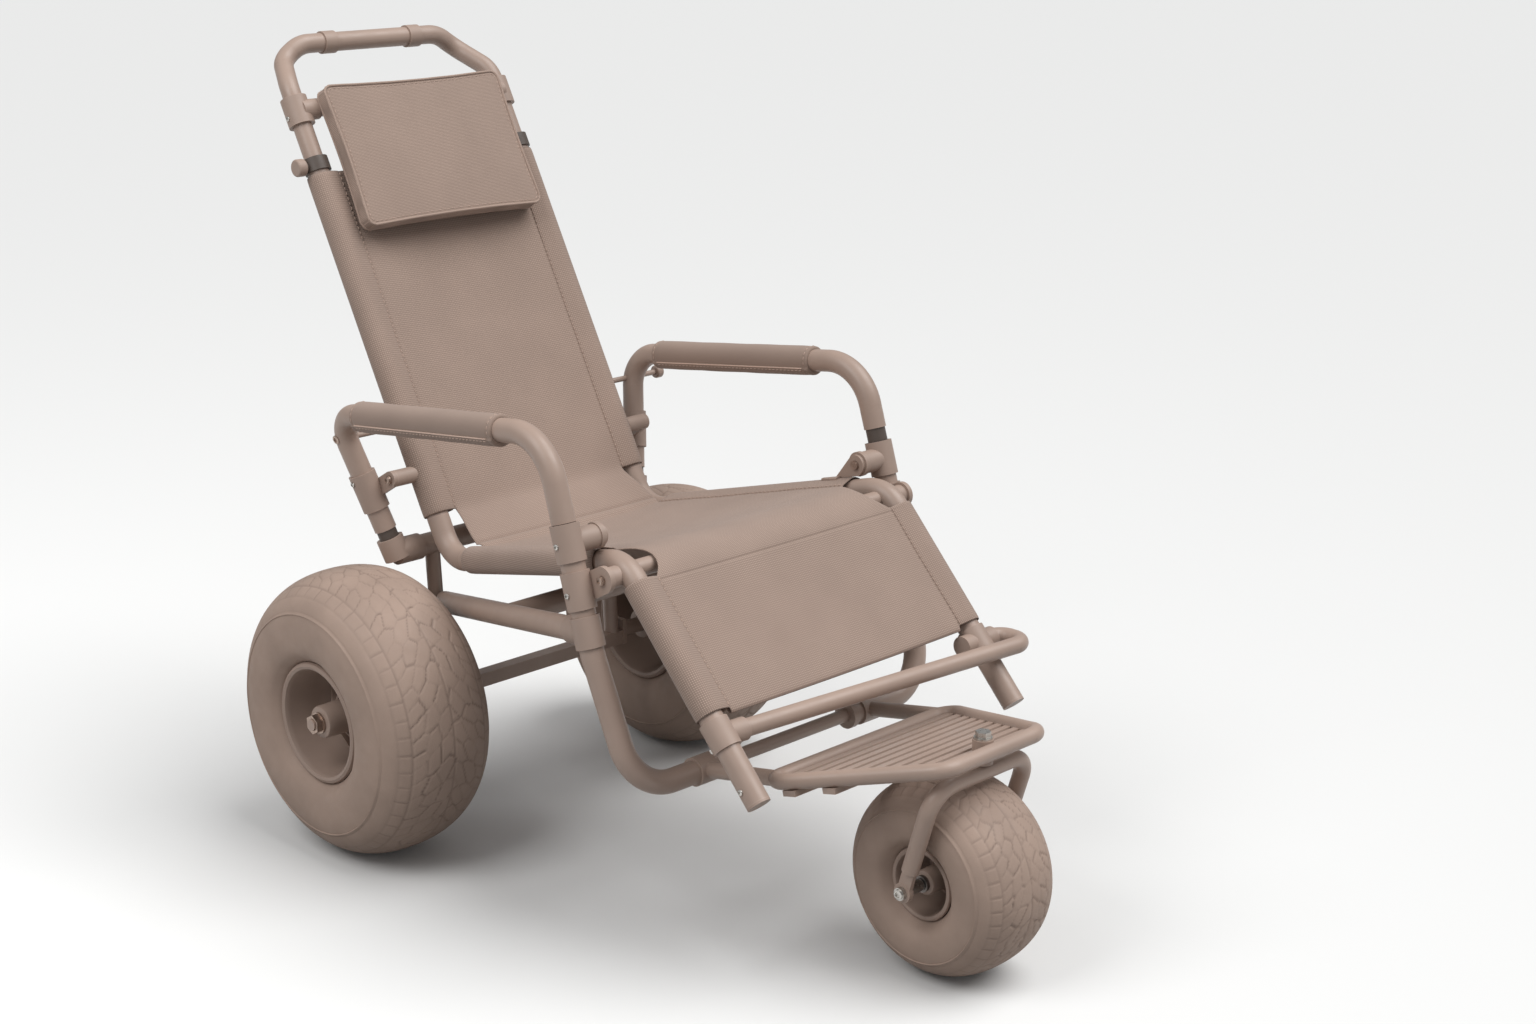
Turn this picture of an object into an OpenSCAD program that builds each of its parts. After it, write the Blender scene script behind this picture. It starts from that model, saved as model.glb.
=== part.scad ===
// Beach wheelchair: a tube chaise with a fabric sling on three balloon wheels.
// Millimetres, +Z up, forward is -Y. The origin is on the ground under the middle of the overall box.

/* [Rear wheels] */
// Outer diameter of a rear balloon tyre
rear_tyre_d = 490; // [470:1:500]
// Width of a rear tyre
rear_tyre_w = 231; // [200:1:240]
// Diameter of the rear rim's lip
rear_rim_d = 209; // [190:1:230]
// Width of the rear rim
rear_rim_w = 203; // [196:1:208]
// Distance between the middles of the two rear tyres
rear_track = 715; // [710:1:800]
// Diameter of the fixed stub axles
axle_d = 20; // [16:1:24]

/* [Front wheel] */
// Outer diameter of the front tyre
front_tyre_d = 315; // [290:1:325]
// Width of the front tyre
front_tyre_w = 179; // [150:1:182]
// Diameter of the front rim's lip
front_rim_d = 116; // [104:1:130]
// Width of the front rim
front_rim_w = 144; // [138:1:150]
// Distance from the rear axle to the front axle
wheelbase = 999; // [980:1:1040]
// How far the front axle trails behind the swivel axis
caster_trail = 55; // [45:1:65]
// Diameter of the fork tube
fork_d = 27; // [24:1:30]
// Diameter of the swivel stem
stem_d = 16; // [12:1:18]
// Thickness of the tyre carcass
tyre_wall = 6; // [4:0.5:9]

/* [Tubes and fittings] */
// Outer diameter of the frame tubes
tube_d = 38; // [36:0.5:40]
// Wall of the frame tubes
tube_wall = 2; // [1.5:0.1:2.5]
// Outer diameter of the tees and clamps
fitting_d = 46; // [45:0.5:50]
// Length of the tees on the uprights and arms
tee_len = 58; // [50:1:62]
// Diameter of the foot bar and the headrest bar
bar_d = 28; // [25:0.5:30]
// Gap between a fitting and its tube
fit_gap = 0.2; // [0.1:0.05:0.3]
// Running gap of the sliding and turning pieces
slide_gap = 0.3; // [0.3:0.05:0.5]

/* [Chaise] */
// Where the back meets the seat, ahead of the rear axle
corner_ahead = 73; // [65:1:85]
// Height of the corner where the back meets the seat, or more where larger rear tyres need it
corner_height = 494; // [480:1:520]
// Lean of the back from upright, in degrees
back_lean = 28.4; // [27:0.1:30]
// Length of the back tubes from the corner
back_len = 716; // [690:1:760]
// Distance between the two back tubes
back_w = 436; // [426:1:446]
// Rise of the seat towards the knees, in degrees
seat_rise = 13.85; // [12.5:0.05:15]
// Length of the seat from the corner to the knee
seat_len = 535; // [520:1:550]
// Distance between the two leg tubes
knee_w = 580; // [565:1:584]
// Drop of the leg rest below level, in degrees
leg_drop = 47.1; // [45:0.1:49]
// Length of the leg tubes from the knee
leg_len = 419; // [410:1:430]
// Bend radius at the corner and the knee
chaise_bend_r = 60; // [50:1:64]

/* [Uprights and arms] */
// Distance between the two uprights
upright_w = 694; // [690:1:720]
// Backward lean of the uprights, in degrees
upright_lean = 17.2; // [15:0.1:18]
// Height of the low cross rod
cross_z = 274; // [266:1:282]
// Diameter of the low cross rod
cross_rod_d = 22; // [18:1:26]
// Height of the arm's front corner above the lower tee, along the upright
arm_rise = 239; // [225:1:250]
// Length of the arm between its corners
arm_len = 567; // [550:1:580]
// Fall of the arm towards the back, in degrees
arm_fall = 7.1; // [6:0.1:8.5]
// Distance between the rear corners of the two arms
arm_rear_w = 662; // [655:1:690]
// Outer diameter of the arm pads
arm_pad_d = 49; // [46:1:54]
// Length of the arm pads
arm_pad_l = 386; // [350:1:390]
// Diameter of the stay bar behind the back
stay_d = 10; // [8:0.5:10.5]

/* [Base] */
// Distance between the two rear base tees
rear_tee_w = 542; // [536:1:560]
// Height of the rear cross tube above the corner of the chaise
rear_cross_up = 6; // [4:1:12]
// Distance of the rear cross tube behind the rear axle
rear_cross_back = 15; // [8:1:20]
// Distance between the two rear posts
post_w = 390; // [370:1:400]
// Width of the square axle beam
beam_w = 25; // [22:1:30]

/* [Footplate] */
// Length of the footplate along its slope
foot_len = 280; // [268:1:290]
// Upward tilt of the footplate towards its front, in degrees
foot_tilt = 14.2; // [13:0.1:15]
// Width at its rear edge
foot_rear_w = 424; // [412:1:430]
// Width at its front edge
foot_front_w = 216; // [206:1:226]
// Diameter of the footplate tube
foot_tube_d = 25; // [22:0.5:27]
// Number of slats
slat_count = 10; // [7:1:11]
// Height of the footplate's front edge above the front tyre
foot_clear = 59; // [54:1:66]

/* [Handle and headrest] */
// How far the top bar stands behind the line of the back
handle_set = 31; // [26:1:40]
// Height of the top bar above the lower bends of the handle
handle_rise = 63.5; // [58:0.5:72]
// Travel of the handle upwards
handle_up = 120; // [80:1:120]
// Travel of the handle downwards
handle_down = 58; // [20:1:60]
// Width of the pillow
pillow_w = 384; // [350:1:385]
// Length of the pillow along the back
pillow_l = 262; // [240:1:275]
// Thickness of the pillow
pillow_t = 48; // [40:1:54]
// Diameter of a clamp knob
knob_d = 30; // [26:1:34]

/* [Fabric] */
// Outer diameter of the sleeves on the tubes
sleeve_d = 47; // [46:0.5:52]
// Thickness of the sling
sling_t = 2.5; // [2:0.1:4]
// Sag of the back panel
back_sag = 16; // [8:1:24]
// Sag of the seat panel
seat_sag = 22; // [8:1:34]

/* [Hidden] */
$fn = 48;
frame_colour = "#9c877c";
fabric_colour = "#9b8579";
tyre_colour = "#96806f";
dark_colour = "#4f443d";
screw_colour = "#b9b2aa";
sides = [-1, 1];
tube_r = tube_d / 2;
bore_d = tube_d - 2 * tube_wall;
fitting_r = fitting_d / 2;
sleeve_r = sleeve_d / 2;
lug_t = 8;
lug_r = 21;
bolt_d = 8;

// The chaise and the rear cross tube keep clear of the top of the rear tyres.
tyre_clear = 4;
corner_z = max(corner_height, rear_tyre_d + tyre_clear);
rear_cross_z = corner_z + rear_cross_up;

// Places along the chaise. The right side has negative X, and side is -1 or 1.
corner = [back_w / 2, -corner_ahead, corner_z];
back_dir = [0, sin(back_lean), cos(back_lean)];
back_front = [0, -cos(back_lean), sin(back_lean)];
knee = [knee_w / 2, -corner_ahead - seat_len * cos(seat_rise), corner_z + seat_len * sin(seat_rise)];
seat_dir = unit(knee - corner);
leg_dir = [0, -cos(leg_drop), -sin(leg_drop)];
leg_front = [0, -sin(leg_drop), cos(leg_drop)];
leg_end = knee + leg_dir * leg_len;
elbow_up = 76;
elbow_on = 54;

// The lower tee stands behind and below the knee, and the upright runs through it.
lower_tee = [upright_w / 2, knee.y + 41, knee.z - 41];
upright_dir = [0, sin(upright_lean), cos(upright_lean)];
upper_tee = lower_tee + upright_dir * 73;
rail_tee = lower_tee - upright_dir * 64;
rail_tee_len = 48;
upright_top = upper_tee + upright_dir * (tee_len / 2 - 6);
upright_kink = rail_tee - upright_dir * (rail_tee_len / 2 + 12);
toe_in = 22;
upright_low = lower_tee - upright_dir * ((lower_tee.z - cross_z) / upright_dir.z) - [toe_in, 0, 0];
cross_end = 150;
cross_bend_r = 85;
kink_r = 150;
knee_pin = bend_mid(corner, knee, leg_end, chaise_bend_r) - [0, 2, 10];

// Arms
arm_front = lower_tee + upright_dir * arm_rise;
arm_rear = [arm_rear_w / 2, arm_front.y + arm_len * cos(arm_fall), arm_front.z - arm_len * sin(arm_fall)];
rear_tee = [rear_tee_w / 2, rear_cross_back, rear_cross_z];
rear_leg_dir = unit(arm_rear - rear_tee);
// The right arm is pushed home on its tee, and the left one stands a little way up its spigot.
arm_gap_right = 1;
arm_gap_left = 23;
function arm_foot_front(side) =
    upper_tee + upright_dir * (tee_len / 2 + (side < 0 ? arm_gap_right : arm_gap_left));
base_tee_top = 27;
arm_foot_rear = rear_tee + rear_leg_dir * (base_tee_top + 16);
lug_tee = rear_tee + rear_leg_dir * 114;
back_pin = along_back(157);
arm_dir = unit(arm_rear - arm_front);
arm_bends = [0, 88, 52, 0];
pad_front_back = 106;
stay_at = rear_tee + rear_leg_dir * 212;
stay_knob_x = stay_at.x + tube_r + 34;

// Side rails and rear frame
post_x = post_w / 2;
axle_z = rear_tyre_d / 2;
rail_drop = 100;
rail_end = [post_x, -16, rear_cross_z - rail_drop];
wheel_x = rear_track / 2;
mid_cross_back = 0.52;

// Caster and footplate
front_axle_z = front_tyre_d / 2;
stem_y = -wheelbase - caster_trail;
head_r = stem_d / 2 + 8;
foot_tube_r = foot_tube_d / 2;
foot_front_y = stem_y - head_r - foot_tube_r + 6;
foot_front_z = front_tyre_d + foot_clear;
foot_dir = [0, cos(foot_tilt), -sin(foot_tilt)];
foot_up = [0, sin(foot_tilt), cos(foot_tilt)];
foot_front = [0, foot_front_y, foot_front_z];
foot_rear = foot_front + foot_dir * foot_len;
crown_z = front_tyre_d + 20;
fork_x = front_tyre_w / 2 + 5 + fork_d / 2;
stem_nut_h = 10;
head_top = foot_front_z + 14;
foot_arm_x = 185;

// Handle
collar_h = 24;
collar_at = back_len - 2;
handle_tee_len = 50;
tee_at = collar_at + collar_h / 2 + handle_down + handle_tee_len / 2 + 4;
handle_leg_d = bore_d - 2 * slide_gap;
handle_foot = collar_at - handle_up - 130;
handle_bend = along_back(tee_at + handle_tee_len / 2 + 22);
handle_bar = [148, handle_bend.y + handle_rise * tan(back_lean) + handle_set, handle_bend.z + handle_rise];
handle_neck = handle_bar + [38, -1, -26];
handle_bends = [60, 44, 60];
handle_collar_x = 91;
pillow_gap = 0.3;
knob_x = corner.x + fitting_r + 2;
pad_clear = 0.3;

// The box runs from the front tyre to the back of the handle's collars.
front_reach = wheelbase + front_tyre_d / 2;
rear_reach = handle_bar.y + handle_leg_d / 2 + 3;
rear_axle_y = (front_reach - rear_reach) / 2;

// Vectors and paths

function unit(v) = v / norm(v);
function flip(p, side) = [side * p.x, p.y, p.z];
function along_back(s) = corner + back_dir * s;
function along_seat(s) = corner + seat_dir * s;
function along_leg(s) = knee + leg_dir * s;
function turn_angle(a, b, c) = acos(unit(b - a) * unit(c - b));
function tangent(a, b, c, r) = r * tan(turn_angle(a, b, c) / 2);
function bend_in(a, b, c) = unit(unit(c - b) - unit(b - a));
function bend_mid(a, b, c, r) = b + bend_in(a, b, c) * r * (1 / cos(turn_angle(a, b, c) / 2) - 1);
function mix(a, b, t) = a * (1 - t) + b * t;

module frame_at(o, x, y, z) {
    multmatrix([[x.x, y.x, z.x, o.x], [x.y, y.y, z.y, o.y], [x.z, y.z, z.z, o.z], [0, 0, 0, 1]])
        children();
}

// Children stand on p with their +Z towards q.
module along(p, q) {
    z = unit(q - p);
    x = unit(cross(abs(z.z) > 0.99 ? [0, 1, 0] : [0, 0, 1], z));
    frame_at(p, x, cross(z, x), z) children();
}

module ring(od, id) {
    difference() {
        circle(d = od);
        if (id > 0) circle(d = id);
    }
}

module pipe(p, q, od, id = 0) {
    along(p, q) linear_extrude(norm(q - p)) ring(od, id);
}

// A bent tube through the points p, with the bend radius r at each inner point. The bends are a little
// thicker than the straights and lap over their ends.
module tube_run(p, r, od, id = 0) {
    bead = 0.2;
    lap = 0.8;
    last = len(p) - 1;
    cut = [for (i = [0 : last])
        i == 0 || i == last ? 0 : tangent(p[i - 1], p[i], p[i + 1], r[i])];
    for (i = [0 : last - 1]) {
        u = unit(p[i + 1] - p[i]);
        pipe(p[i] + u * cut[i], p[i + 1] - u * cut[i + 1], od, id);
    }
    for (i = [1 : 1 : last - 1]) {
        u = unit(p[i] - p[i - 1]);
        w = unit(p[i + 1] - p[i]);
        angle = turn_angle(p[i - 1], p[i], p[i + 1]);
        n = unit(w - u * cos(angle));
        over = lap / r[i] * 180 / PI;
        frame_at(p[i] - u * cut[i] + n * r[i], -n, u, cross(u, n)) rotate([0, 0, -over])
            rotate_extrude(angle = angle + 2 * over) translate([r[i], 0])
                ring(od + bead, id > 0 ? id - bead : 0);
    }
}

module from_axle() {
    translate([0, rear_axle_y, 0]) children();
}

module both_sides() {
    for (side = sides) scale_side(side) children();
}

module scale_side(side) {
    if (side > 0) children();
    else mirror([1, 0, 0]) children();
}

// A round-ended plate of thickness t that lies from p to q, square to X, outwards from x
module strap_plate(p, q, r, x, t) {
    d = q - p;
    n = unit([0, -d.z, d.y]) * r;
    corners = [p + n, q + n, q - n, p - n];
    frame_at([x, 0, 0], [0, 1, 0], [0, 0, 1], [1, 0, 0]) linear_extrude(t) union() {
        translate([p.y, p.z]) circle(r);
        translate([q.y, q.z]) circle(r);
        polygon([for (c = corners) [c.y, c.z]]);
    }
}

module x_rod(p, x0, x1, d) {
    translate([x0, p.y, p.z]) rotate([0, 90, 0]) cylinder(d = d, h = x1 - x0);
}

// A closed skin between two grids of points with the same rows and columns
module skin(front, back) {
    rows = len(front);
    cols = len(front[0]);
    n = rows * cols;
    points = [for (g = [front, back]) for (row = g) for (p = row) p];
    quads = concat(
        [for (i = [0 : rows - 2]) for (j = [0 : cols - 2])
            [i * cols + j, i * cols + j + 1, (i + 1) * cols + j + 1, (i + 1) * cols + j]],
        [for (i = [0 : rows - 2]) for (j = [0 : cols - 2])
            [n + i * cols + j, n + (i + 1) * cols + j, n + (i + 1) * cols + j + 1, n + i * cols + j + 1]],
        [for (j = [0 : cols - 2]) [j + 1, j, n + j, n + j + 1]],
        [for (j = [0 : cols - 2]) let (k = (rows - 1) * cols + j) [k, k + 1, n + k + 1, n + k]],
        [for (i = [0 : rows - 2]) let (k = i * cols) [k, k + cols, n + k + cols, n + k]],
        [for (i = [0 : rows - 2]) let (k = i * cols + cols - 1) [k + cols, k, n + k, n + k + cols]]
    );
    polyhedron(points, [for (q = quads) for (t = [[q[0], q[1], q[2]], [q[0], q[2], q[3]]]) t]);
}

// Base

module upright(side) {
    from_axle() scale_side(side) tube_run(
        [upright_top, upright_kink, upright_low, [cross_end, upright_low.y, upright_low.z]],
        [0, kink_r, cross_bend_r, 0], tube_d, bore_d);
}

module upright_right() { color(frame_colour) upright(-1); }

module upright_left() { color(frame_colour) upright(1); }

// A turned rod: each end has a flange on the stub's face and a plug inside the stub.
module lower_cross_rod() {
    flange_t = 12;
    plug_l = 40;
    color(frame_colour) from_axle() {
        x_rod(upright_low, -cross_end, cross_end, cross_rod_d);
        both_sides() {
            x_rod(upright_low, cross_end - flange_t, cross_end, fitting_d);
            x_rod(upright_low, cross_end, cross_end + plug_l, bore_d - 2 * fit_gap);
        }
    }
}

// A sleeve along dir with its bore cut through whatever it carries
module tee_body(p, dir, l) {
    difference() {
        union() {
            pipe(p - dir * l / 2, p + dir * l / 2, fitting_d);
            children();
        }
        pipe(p - dir * (l + fitting_d), p + dir * (l + fitting_d), tube_d + 2 * fit_gap);
    }
}

bracket_foot = along_seat(seat_len - 105);
bracket_t = 6;
bracket_x = bracket_foot.x + 7;
hinge_x = bracket_x + bracket_t;
hinge_t = 8;

module upper_tees() {
    color(frame_colour) from_axle() both_sides() difference() {
        tee_body(upper_tee, upright_dir, tee_len) {
            x_rod(upper_tee, hinge_x, upper_tee.x, tube_d);
            x_rod(upper_tee, hinge_x, hinge_x + hinge_t, 2 * lug_r);
        }
        x_rod(upper_tee, hinge_x - 1, upper_tee.x, bolt_d + 2 * fit_gap);
    }
}

knee_lug_x = lower_tee.x - fitting_r + 3;
back_lug_x = lug_tee.x - fitting_r + 3;

module lower_tees() {
    color(frame_colour) from_axle() both_sides() difference() {
        tee_body(lower_tee, upright_dir, tee_len)
            strap_plate(lower_tee, knee_pin, lug_r, knee_lug_x, lug_t);
        x_rod(knee_pin, knee_lug_x - 1, knee_lug_x + lug_t + 1, bolt_d + 2 * fit_gap);
    }
}

rail_dir = unit(rail_end - rail_tee);
rail_gap = tube_r + 3;
cross_gap = tube_r + 6;

module base_tees() {
    branch_l = 52;
    rail_start = rail_tee + rail_dir * branch_l;
    cross_branch = 48;
    tee_low = 11;
    color(frame_colour) from_axle() both_sides() {
        difference() {
            tee_body(rail_tee, upright_dir, rail_tee_len) pipe(rail_tee, rail_start, fitting_d - 1);
            pipe(rail_tee + rail_dir * (rail_gap - 0.5), rail_start + rail_dir, tube_d + 2 * fit_gap);
        }
        difference() {
            union() {
                pipe(rear_tee - rear_leg_dir * tee_low, rear_tee + rear_leg_dir * base_tee_top, fitting_d);
                x_rod(rear_tee, rear_tee.x - cross_branch, rear_tee.x, fitting_d - 1);
            }
            pipe(rear_tee, rear_tee + rear_leg_dir * fitting_d, bore_d);
            x_rod(rear_tee, rear_tee.x - cross_branch - 1, rear_tee.x - cross_gap + 1, tube_d + 2 * fit_gap);
        }
    }
}

module side_rail(side) {
    color(frame_colour) from_axle() scale_side(side) difference() {
        pipe(rail_tee + rail_dir * rail_gap, rail_end, tube_d, bore_d);
        rear_post_solid(2 * fit_gap);
    }
}

module side_rail_right() { side_rail(-1); }

module side_rail_left() { side_rail(1); }

module rear_cross_tube() {
    half = [rear_tee.x - cross_gap, 0, 0];
    middle = [0, rear_tee.y, rear_tee.z];
    color(frame_colour) from_axle() pipe(middle - half, middle + half, tube_d, bore_d);
}

module middle_cross_tube() {
    at = mix(rail_tee, rail_end, mid_cross_back);
    color(frame_colour) from_axle() difference() {
        pipe([-at.x, at.y, at.z], at, tube_d, bore_d);
        both_sides() pipe(rail_tee, rail_end, tube_d + 2 * fit_gap);
    }
}

post_top = [post_x, rear_tee.y, rear_tee.z];
post_foot = [post_x, 0, axle_z];
post_d = 26;
beam_drop = 10;

module rear_post_solid(extra) {
    pipe(post_top, post_foot - [0, 0, beam_drop], post_d + extra);
}

hub_half = rear_tyre_w / 2 - 22;
bearing_in = 2;

// Square beam, two posts welded on it, and end plates that carry the turned stub axles
module rear_axle_frame() {
    beam_end = post_x + post_d / 2 + 4;
    plate_t = 8;
    plate_h = beam_w + axle_d + 2;
    nut_room = 18;
    beam_z = axle_z - beam_drop - beam_w / 2;
    color(frame_colour) from_axle() union() {
        translate([-beam_end, -beam_w / 2, beam_z]) cube([2 * beam_end, beam_w, beam_w]);
        both_sides() {
            translate([beam_end - 1, -beam_w / 2 - 2, beam_z - 1]) cube([plate_t, beam_w + 4, plate_h]);
            x_rod(post_foot, beam_end, wheel_x + hub_half + nut_room, axle_d);
            x_rod(post_foot, beam_end + 1, wheel_x - hub_half + bearing_in - slide_gap, axle_d + 8);
            difference() {
                rear_post_solid(0);
                x_rod(post_top, post_x - tube_d, post_x + tube_d, tube_d + 2 * fit_gap);
            }
        }
    }
}

// Chaise

// Saddles seat the knees on the uprights and the back on the arms.
module saddles() {
    saddle_d = 34;
    back_saddle_d = 28;
    color(frame_colour) from_axle() both_sides() {
        difference() {
            x_rod(knee_pin, knee.x + 6, knee_lug_x, saddle_d);
            tube_run([corner, knee, leg_end], [0, chaise_bend_r, 0], tube_d + 2 * fit_gap);
            x_rod(knee_pin, knee.x, knee_lug_x + 1, bolt_d + 2 * fit_gap);
        }
        difference() {
            x_rod(back_pin, back_pin.x + 8, back_lug_x, back_saddle_d);
            pipe(corner, along_back(back_len), sleeve_d + 2 * fit_gap);
            x_rod(back_pin, back_pin.x, back_lug_x + 1, bolt_d + 2 * fit_gap);
        }
    }
}

// Clips over the outside of the sleeved seat rails, each with a plate that rises to the upper tee
module seat_brackets() {
    clip_l = 34;
    clip_wall = 3;
    clip_in = 8;
    clip = seat_dir * clip_l / 2;
    color(frame_colour) from_axle() both_sides() difference() {
        union() {
            strap_plate(upper_tee, bracket_foot, lug_r - 4, bracket_x, bracket_t);
            pipe(bracket_foot - clip, bracket_foot + clip, sleeve_d + 2 * clip_wall);
        }
        pipe(bracket_foot - 4 * clip, bracket_foot + 4 * clip, sleeve_d + 2 * fit_gap);
        translate(bracket_foot - [clip_in + clip_l, clip_l, clip_l]) cube([clip_l, 2 * clip_l, 2 * clip_l]);
        x_rod(upper_tee, bracket_x - 1, hinge_x + 1, bolt_d + 2 * fit_gap);
    }
}

module back_tube(side) {
    color(frame_colour) from_axle() scale_side(side)
        pipe(along_back(elbow_up), along_back(back_len), tube_d, bore_d);
}

module back_tube_right() { back_tube(-1); }

module back_tube_left() { back_tube(1); }

// Elbows with spigots that plug into the back tube and the seat tube
module elbows() {
    spigot_d = bore_d - 2 * fit_gap;
    spigot_bore = spigot_d - 2 * tube_wall - 1;
    spigot_l = 30;
    root = 2;
    color(frame_colour) from_axle() both_sides() {
        tube_run([along_back(elbow_up), corner, along_seat(elbow_on)],
            [0, chaise_bend_r, 0], tube_d, spigot_bore + 1);
        pipe(along_back(elbow_up - root), along_back(elbow_up + spigot_l), spigot_d, spigot_bore);
        pipe(along_seat(elbow_on - root), along_seat(elbow_on + spigot_l), spigot_d, spigot_bore);
    }
}

cap_t = 4;
knee_cross_at = bend_mid(corner, knee, leg_end, chaise_bend_r) + bend_in(corner, knee, leg_end) * 9;

module seat_leg_tube(side) {
    color(frame_colour) from_axle() scale_side(side)
        tube_run([along_seat(elbow_on), knee, leg_end - leg_dir * cap_t],
            [0, chaise_bend_r, 0], tube_d, bore_d);
}

module seat_leg_tube_right() { seat_leg_tube(-1); }

module seat_leg_tube_left() { seat_leg_tube(1); }

module knee_cross_tube() {
    at = knee_cross_at;
    color(frame_colour) from_axle() difference() {
        pipe([-at.x, at.y, at.z], at, bar_d, bar_d - 2 * tube_wall);
        both_sides() tube_run([corner, knee, leg_end], [0, chaise_bend_r, 0], tube_d + 2 * fit_gap);
    }
}

leg_tee_at = 301;
leg_tee = along_leg(leg_tee_at);
leg_tee_l = 46;
leg_branch = 44;
hook_out = 58;
hook_ahead = (fitting_r + bar_d / 2 + 5) / sin(leg_drop);
hook_r = hook_ahead / 2 - 5;
hook_corner = leg_tee + [hook_out, -hook_ahead, 0];
bar_start = flip(leg_tee, -1);
bar_dir = unit(hook_corner - bar_start);

// The foot bar leaves the right leg's tee, passes ahead of the left leg and hooks back into its tee.
module foot_bar() {
    inside = tube_r + 3;
    color(frame_colour) from_axle() tube_run(
        [bar_start + bar_dir * inside, hook_corner, leg_tee + [hook_out, 0, 0], leg_tee + [inside, 0, 0]],
        [0, hook_r, hook_r, 0], bar_d, bar_d - 2 * tube_wall);
}

module leg_tees() {
    branch_d = bar_d + 8;
    color(frame_colour) from_axle() {
        difference() {
            tee_body(bar_start, leg_dir, leg_tee_l)
                pipe(bar_start, bar_start + bar_dir * leg_branch, branch_d);
            pipe(bar_start, bar_start + bar_dir * leg_branch * 2, bar_d + 2 * fit_gap);
        }
        difference() {
            tee_body(leg_tee, leg_dir, leg_tee_l) {
                x_rod(leg_tee, leg_tee.x, leg_tee.x + leg_branch - 8, branch_d);
                x_rod(leg_tee, leg_tee.x - leg_branch + 6, leg_tee.x, branch_d);
            }
            x_rod(leg_tee, leg_tee.x, leg_tee.x + leg_branch * 2, bar_d + 2 * fit_gap);
        }
    }
}

// Flat plugs that close the leg tubes
module leg_end_caps() {
    plug_l = 14;
    color(frame_colour) from_axle() both_sides() {
        pipe(leg_end - leg_dir * cap_t, leg_end, tube_d);
        pipe(leg_end - leg_dir * (cap_t + plug_l), leg_end - leg_dir * cap_t / 2, bore_d - 2 * fit_gap);
    }
}

// Fabric

seam_gap = 0.2;
panel_rows = 16;
panel_cols = 14;

// A sagging panel between two rails: at(v) gives the right half's rail point, up its facing side.
module panel(at, up, sag, rows) {
    grid = [for (i = [0 : rows]) [for (j = [0 : panel_cols])
        let (v = i / rows, u = 2 * j / panel_cols - 1, p = at(v))
        [u * p.x, p.y, p.z] - up(v) * sag(v) * (1 - u * u)]];
    half = [for (i = [0 : rows]) up(i / rows) * (sling_t / 2)];
    skin([for (i = [0 : rows]) [for (p = grid[i]) p + half[i]]],
        [for (i = [0 : rows]) [for (p = grid[i]) p - half[i]]]);
}

module sleeve(p, q) {
    pipe(p, q, sleeve_d, tube_d + 2 * fit_gap);
}

lift = 11;
edge_in = [sqrt(sleeve_r * sleeve_r - lift * lift) + seam_gap, 0, 0];
back_sleeve_low = 78;
back_sleeve_top = collar_at - collar_h / 2 - 4;
seat_sleeve_rear = 66;
seat_sleeve_front = seat_len - 56;
seat_up = unit(cross([1, 0, 0], [0, seat_dir.y, seat_dir.z]) * -1);
crease = corner - edge_in + [0, -45, 34];
crease_up = unit(back_front + 2 * seat_up);
crease_gap = 0.4;

// From the top of the back down its tubes, then across the corner to the crease
module sling_back() {
    turn = 0.86;
    low = along_back(elbow_up) - edge_in + back_front * lift;
    top = along_back(back_sleeve_top) - edge_in + back_front * lift;
    color(fabric_colour) from_axle() {
        both_sides() sleeve(along_back(back_sleeve_low), along_back(back_sleeve_top));
        panel(function(v) v < turn ? mix(top, low, v / turn) : mix(low, crease, (v - turn) / (1 - turn)),
            function(v) v < turn ? back_front : unit(mix(back_front, crease_up, (v - turn) / (1 - turn))),
            function(v) back_sag * sin(180 * v), panel_rows);
    }
}

// From the crease to the knee
module sling_seat() {
    turn = 0.07;
    rear = along_seat(seat_sleeve_rear) - edge_in + seat_up * lift;
    front = along_seat(seat_sleeve_front) - edge_in + seat_up * lift;
    start = crease + [0, -crease_gap, 0];
    color(fabric_colour) from_axle() {
        both_sides() sleeve(along_seat(seat_sleeve_rear), along_seat(seat_sleeve_front));
        panel(function(v) v < turn ? mix(start, rear, v / turn) : mix(rear, front, (v - turn) / (1 - turn)),
            function(v) v < turn ? unit(mix(crease_up, seat_up, v / turn)) : seat_up,
            function(v) seat_sag * sin(180 * v), panel_rows);
    }
}

leg_sleeve_top = 40;
leg_sleeve_low = 270;

// The leg panel starts behind the knee, rolls over it and runs down the leg tubes.
module sling_leg() {
    roll_from = 50;
    start = knee - seat_dir * roll_from;
    stop = along_leg(leg_sleeve_low);
    rise = 4;
    roll = 5;
    color(fabric_colour) from_axle() {
        both_sides() sleeve(along_leg(leg_sleeve_top), along_leg(leg_sleeve_low));
        panel(function(v) roll_point(start, stop, v) - edge_in + roll_up(v) * lift, function(v) roll_up(v),
            function(v) -rise * max(0, 1 - roll * abs(v - 0.16)), panel_rows);
    }
}

// Points from the seat over the knee to the leg: a curve that stays under the corner
function roll_point(start, stop, v) =
    v < 0.32 ? let (t = v / 0.32) mix(mix(start, knee, t), mix(knee, along_leg(50), t), t)
             : mix(along_leg(50), stop, (v - 0.32) / 0.68);
function roll_up(v) = v < 0.32 ? unit(mix(seat_up, leg_front, v / 0.32)) : leg_front;

// Arms

module arm_tube(side) {
    color(frame_colour) from_axle() scale_side(side) difference() {
        tube_run([arm_foot_front(side), arm_front, arm_rear, arm_foot_rear], arm_bends, tube_d, bore_d);
        x_rod(stay_at, stay_at.x - tube_d, stay_at.x + tube_d, stay_d + 2 * fit_gap);
    }
}

module arm_tube_right() { arm_tube(-1); }

module arm_tube_left() { arm_tube(1); }

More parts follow.
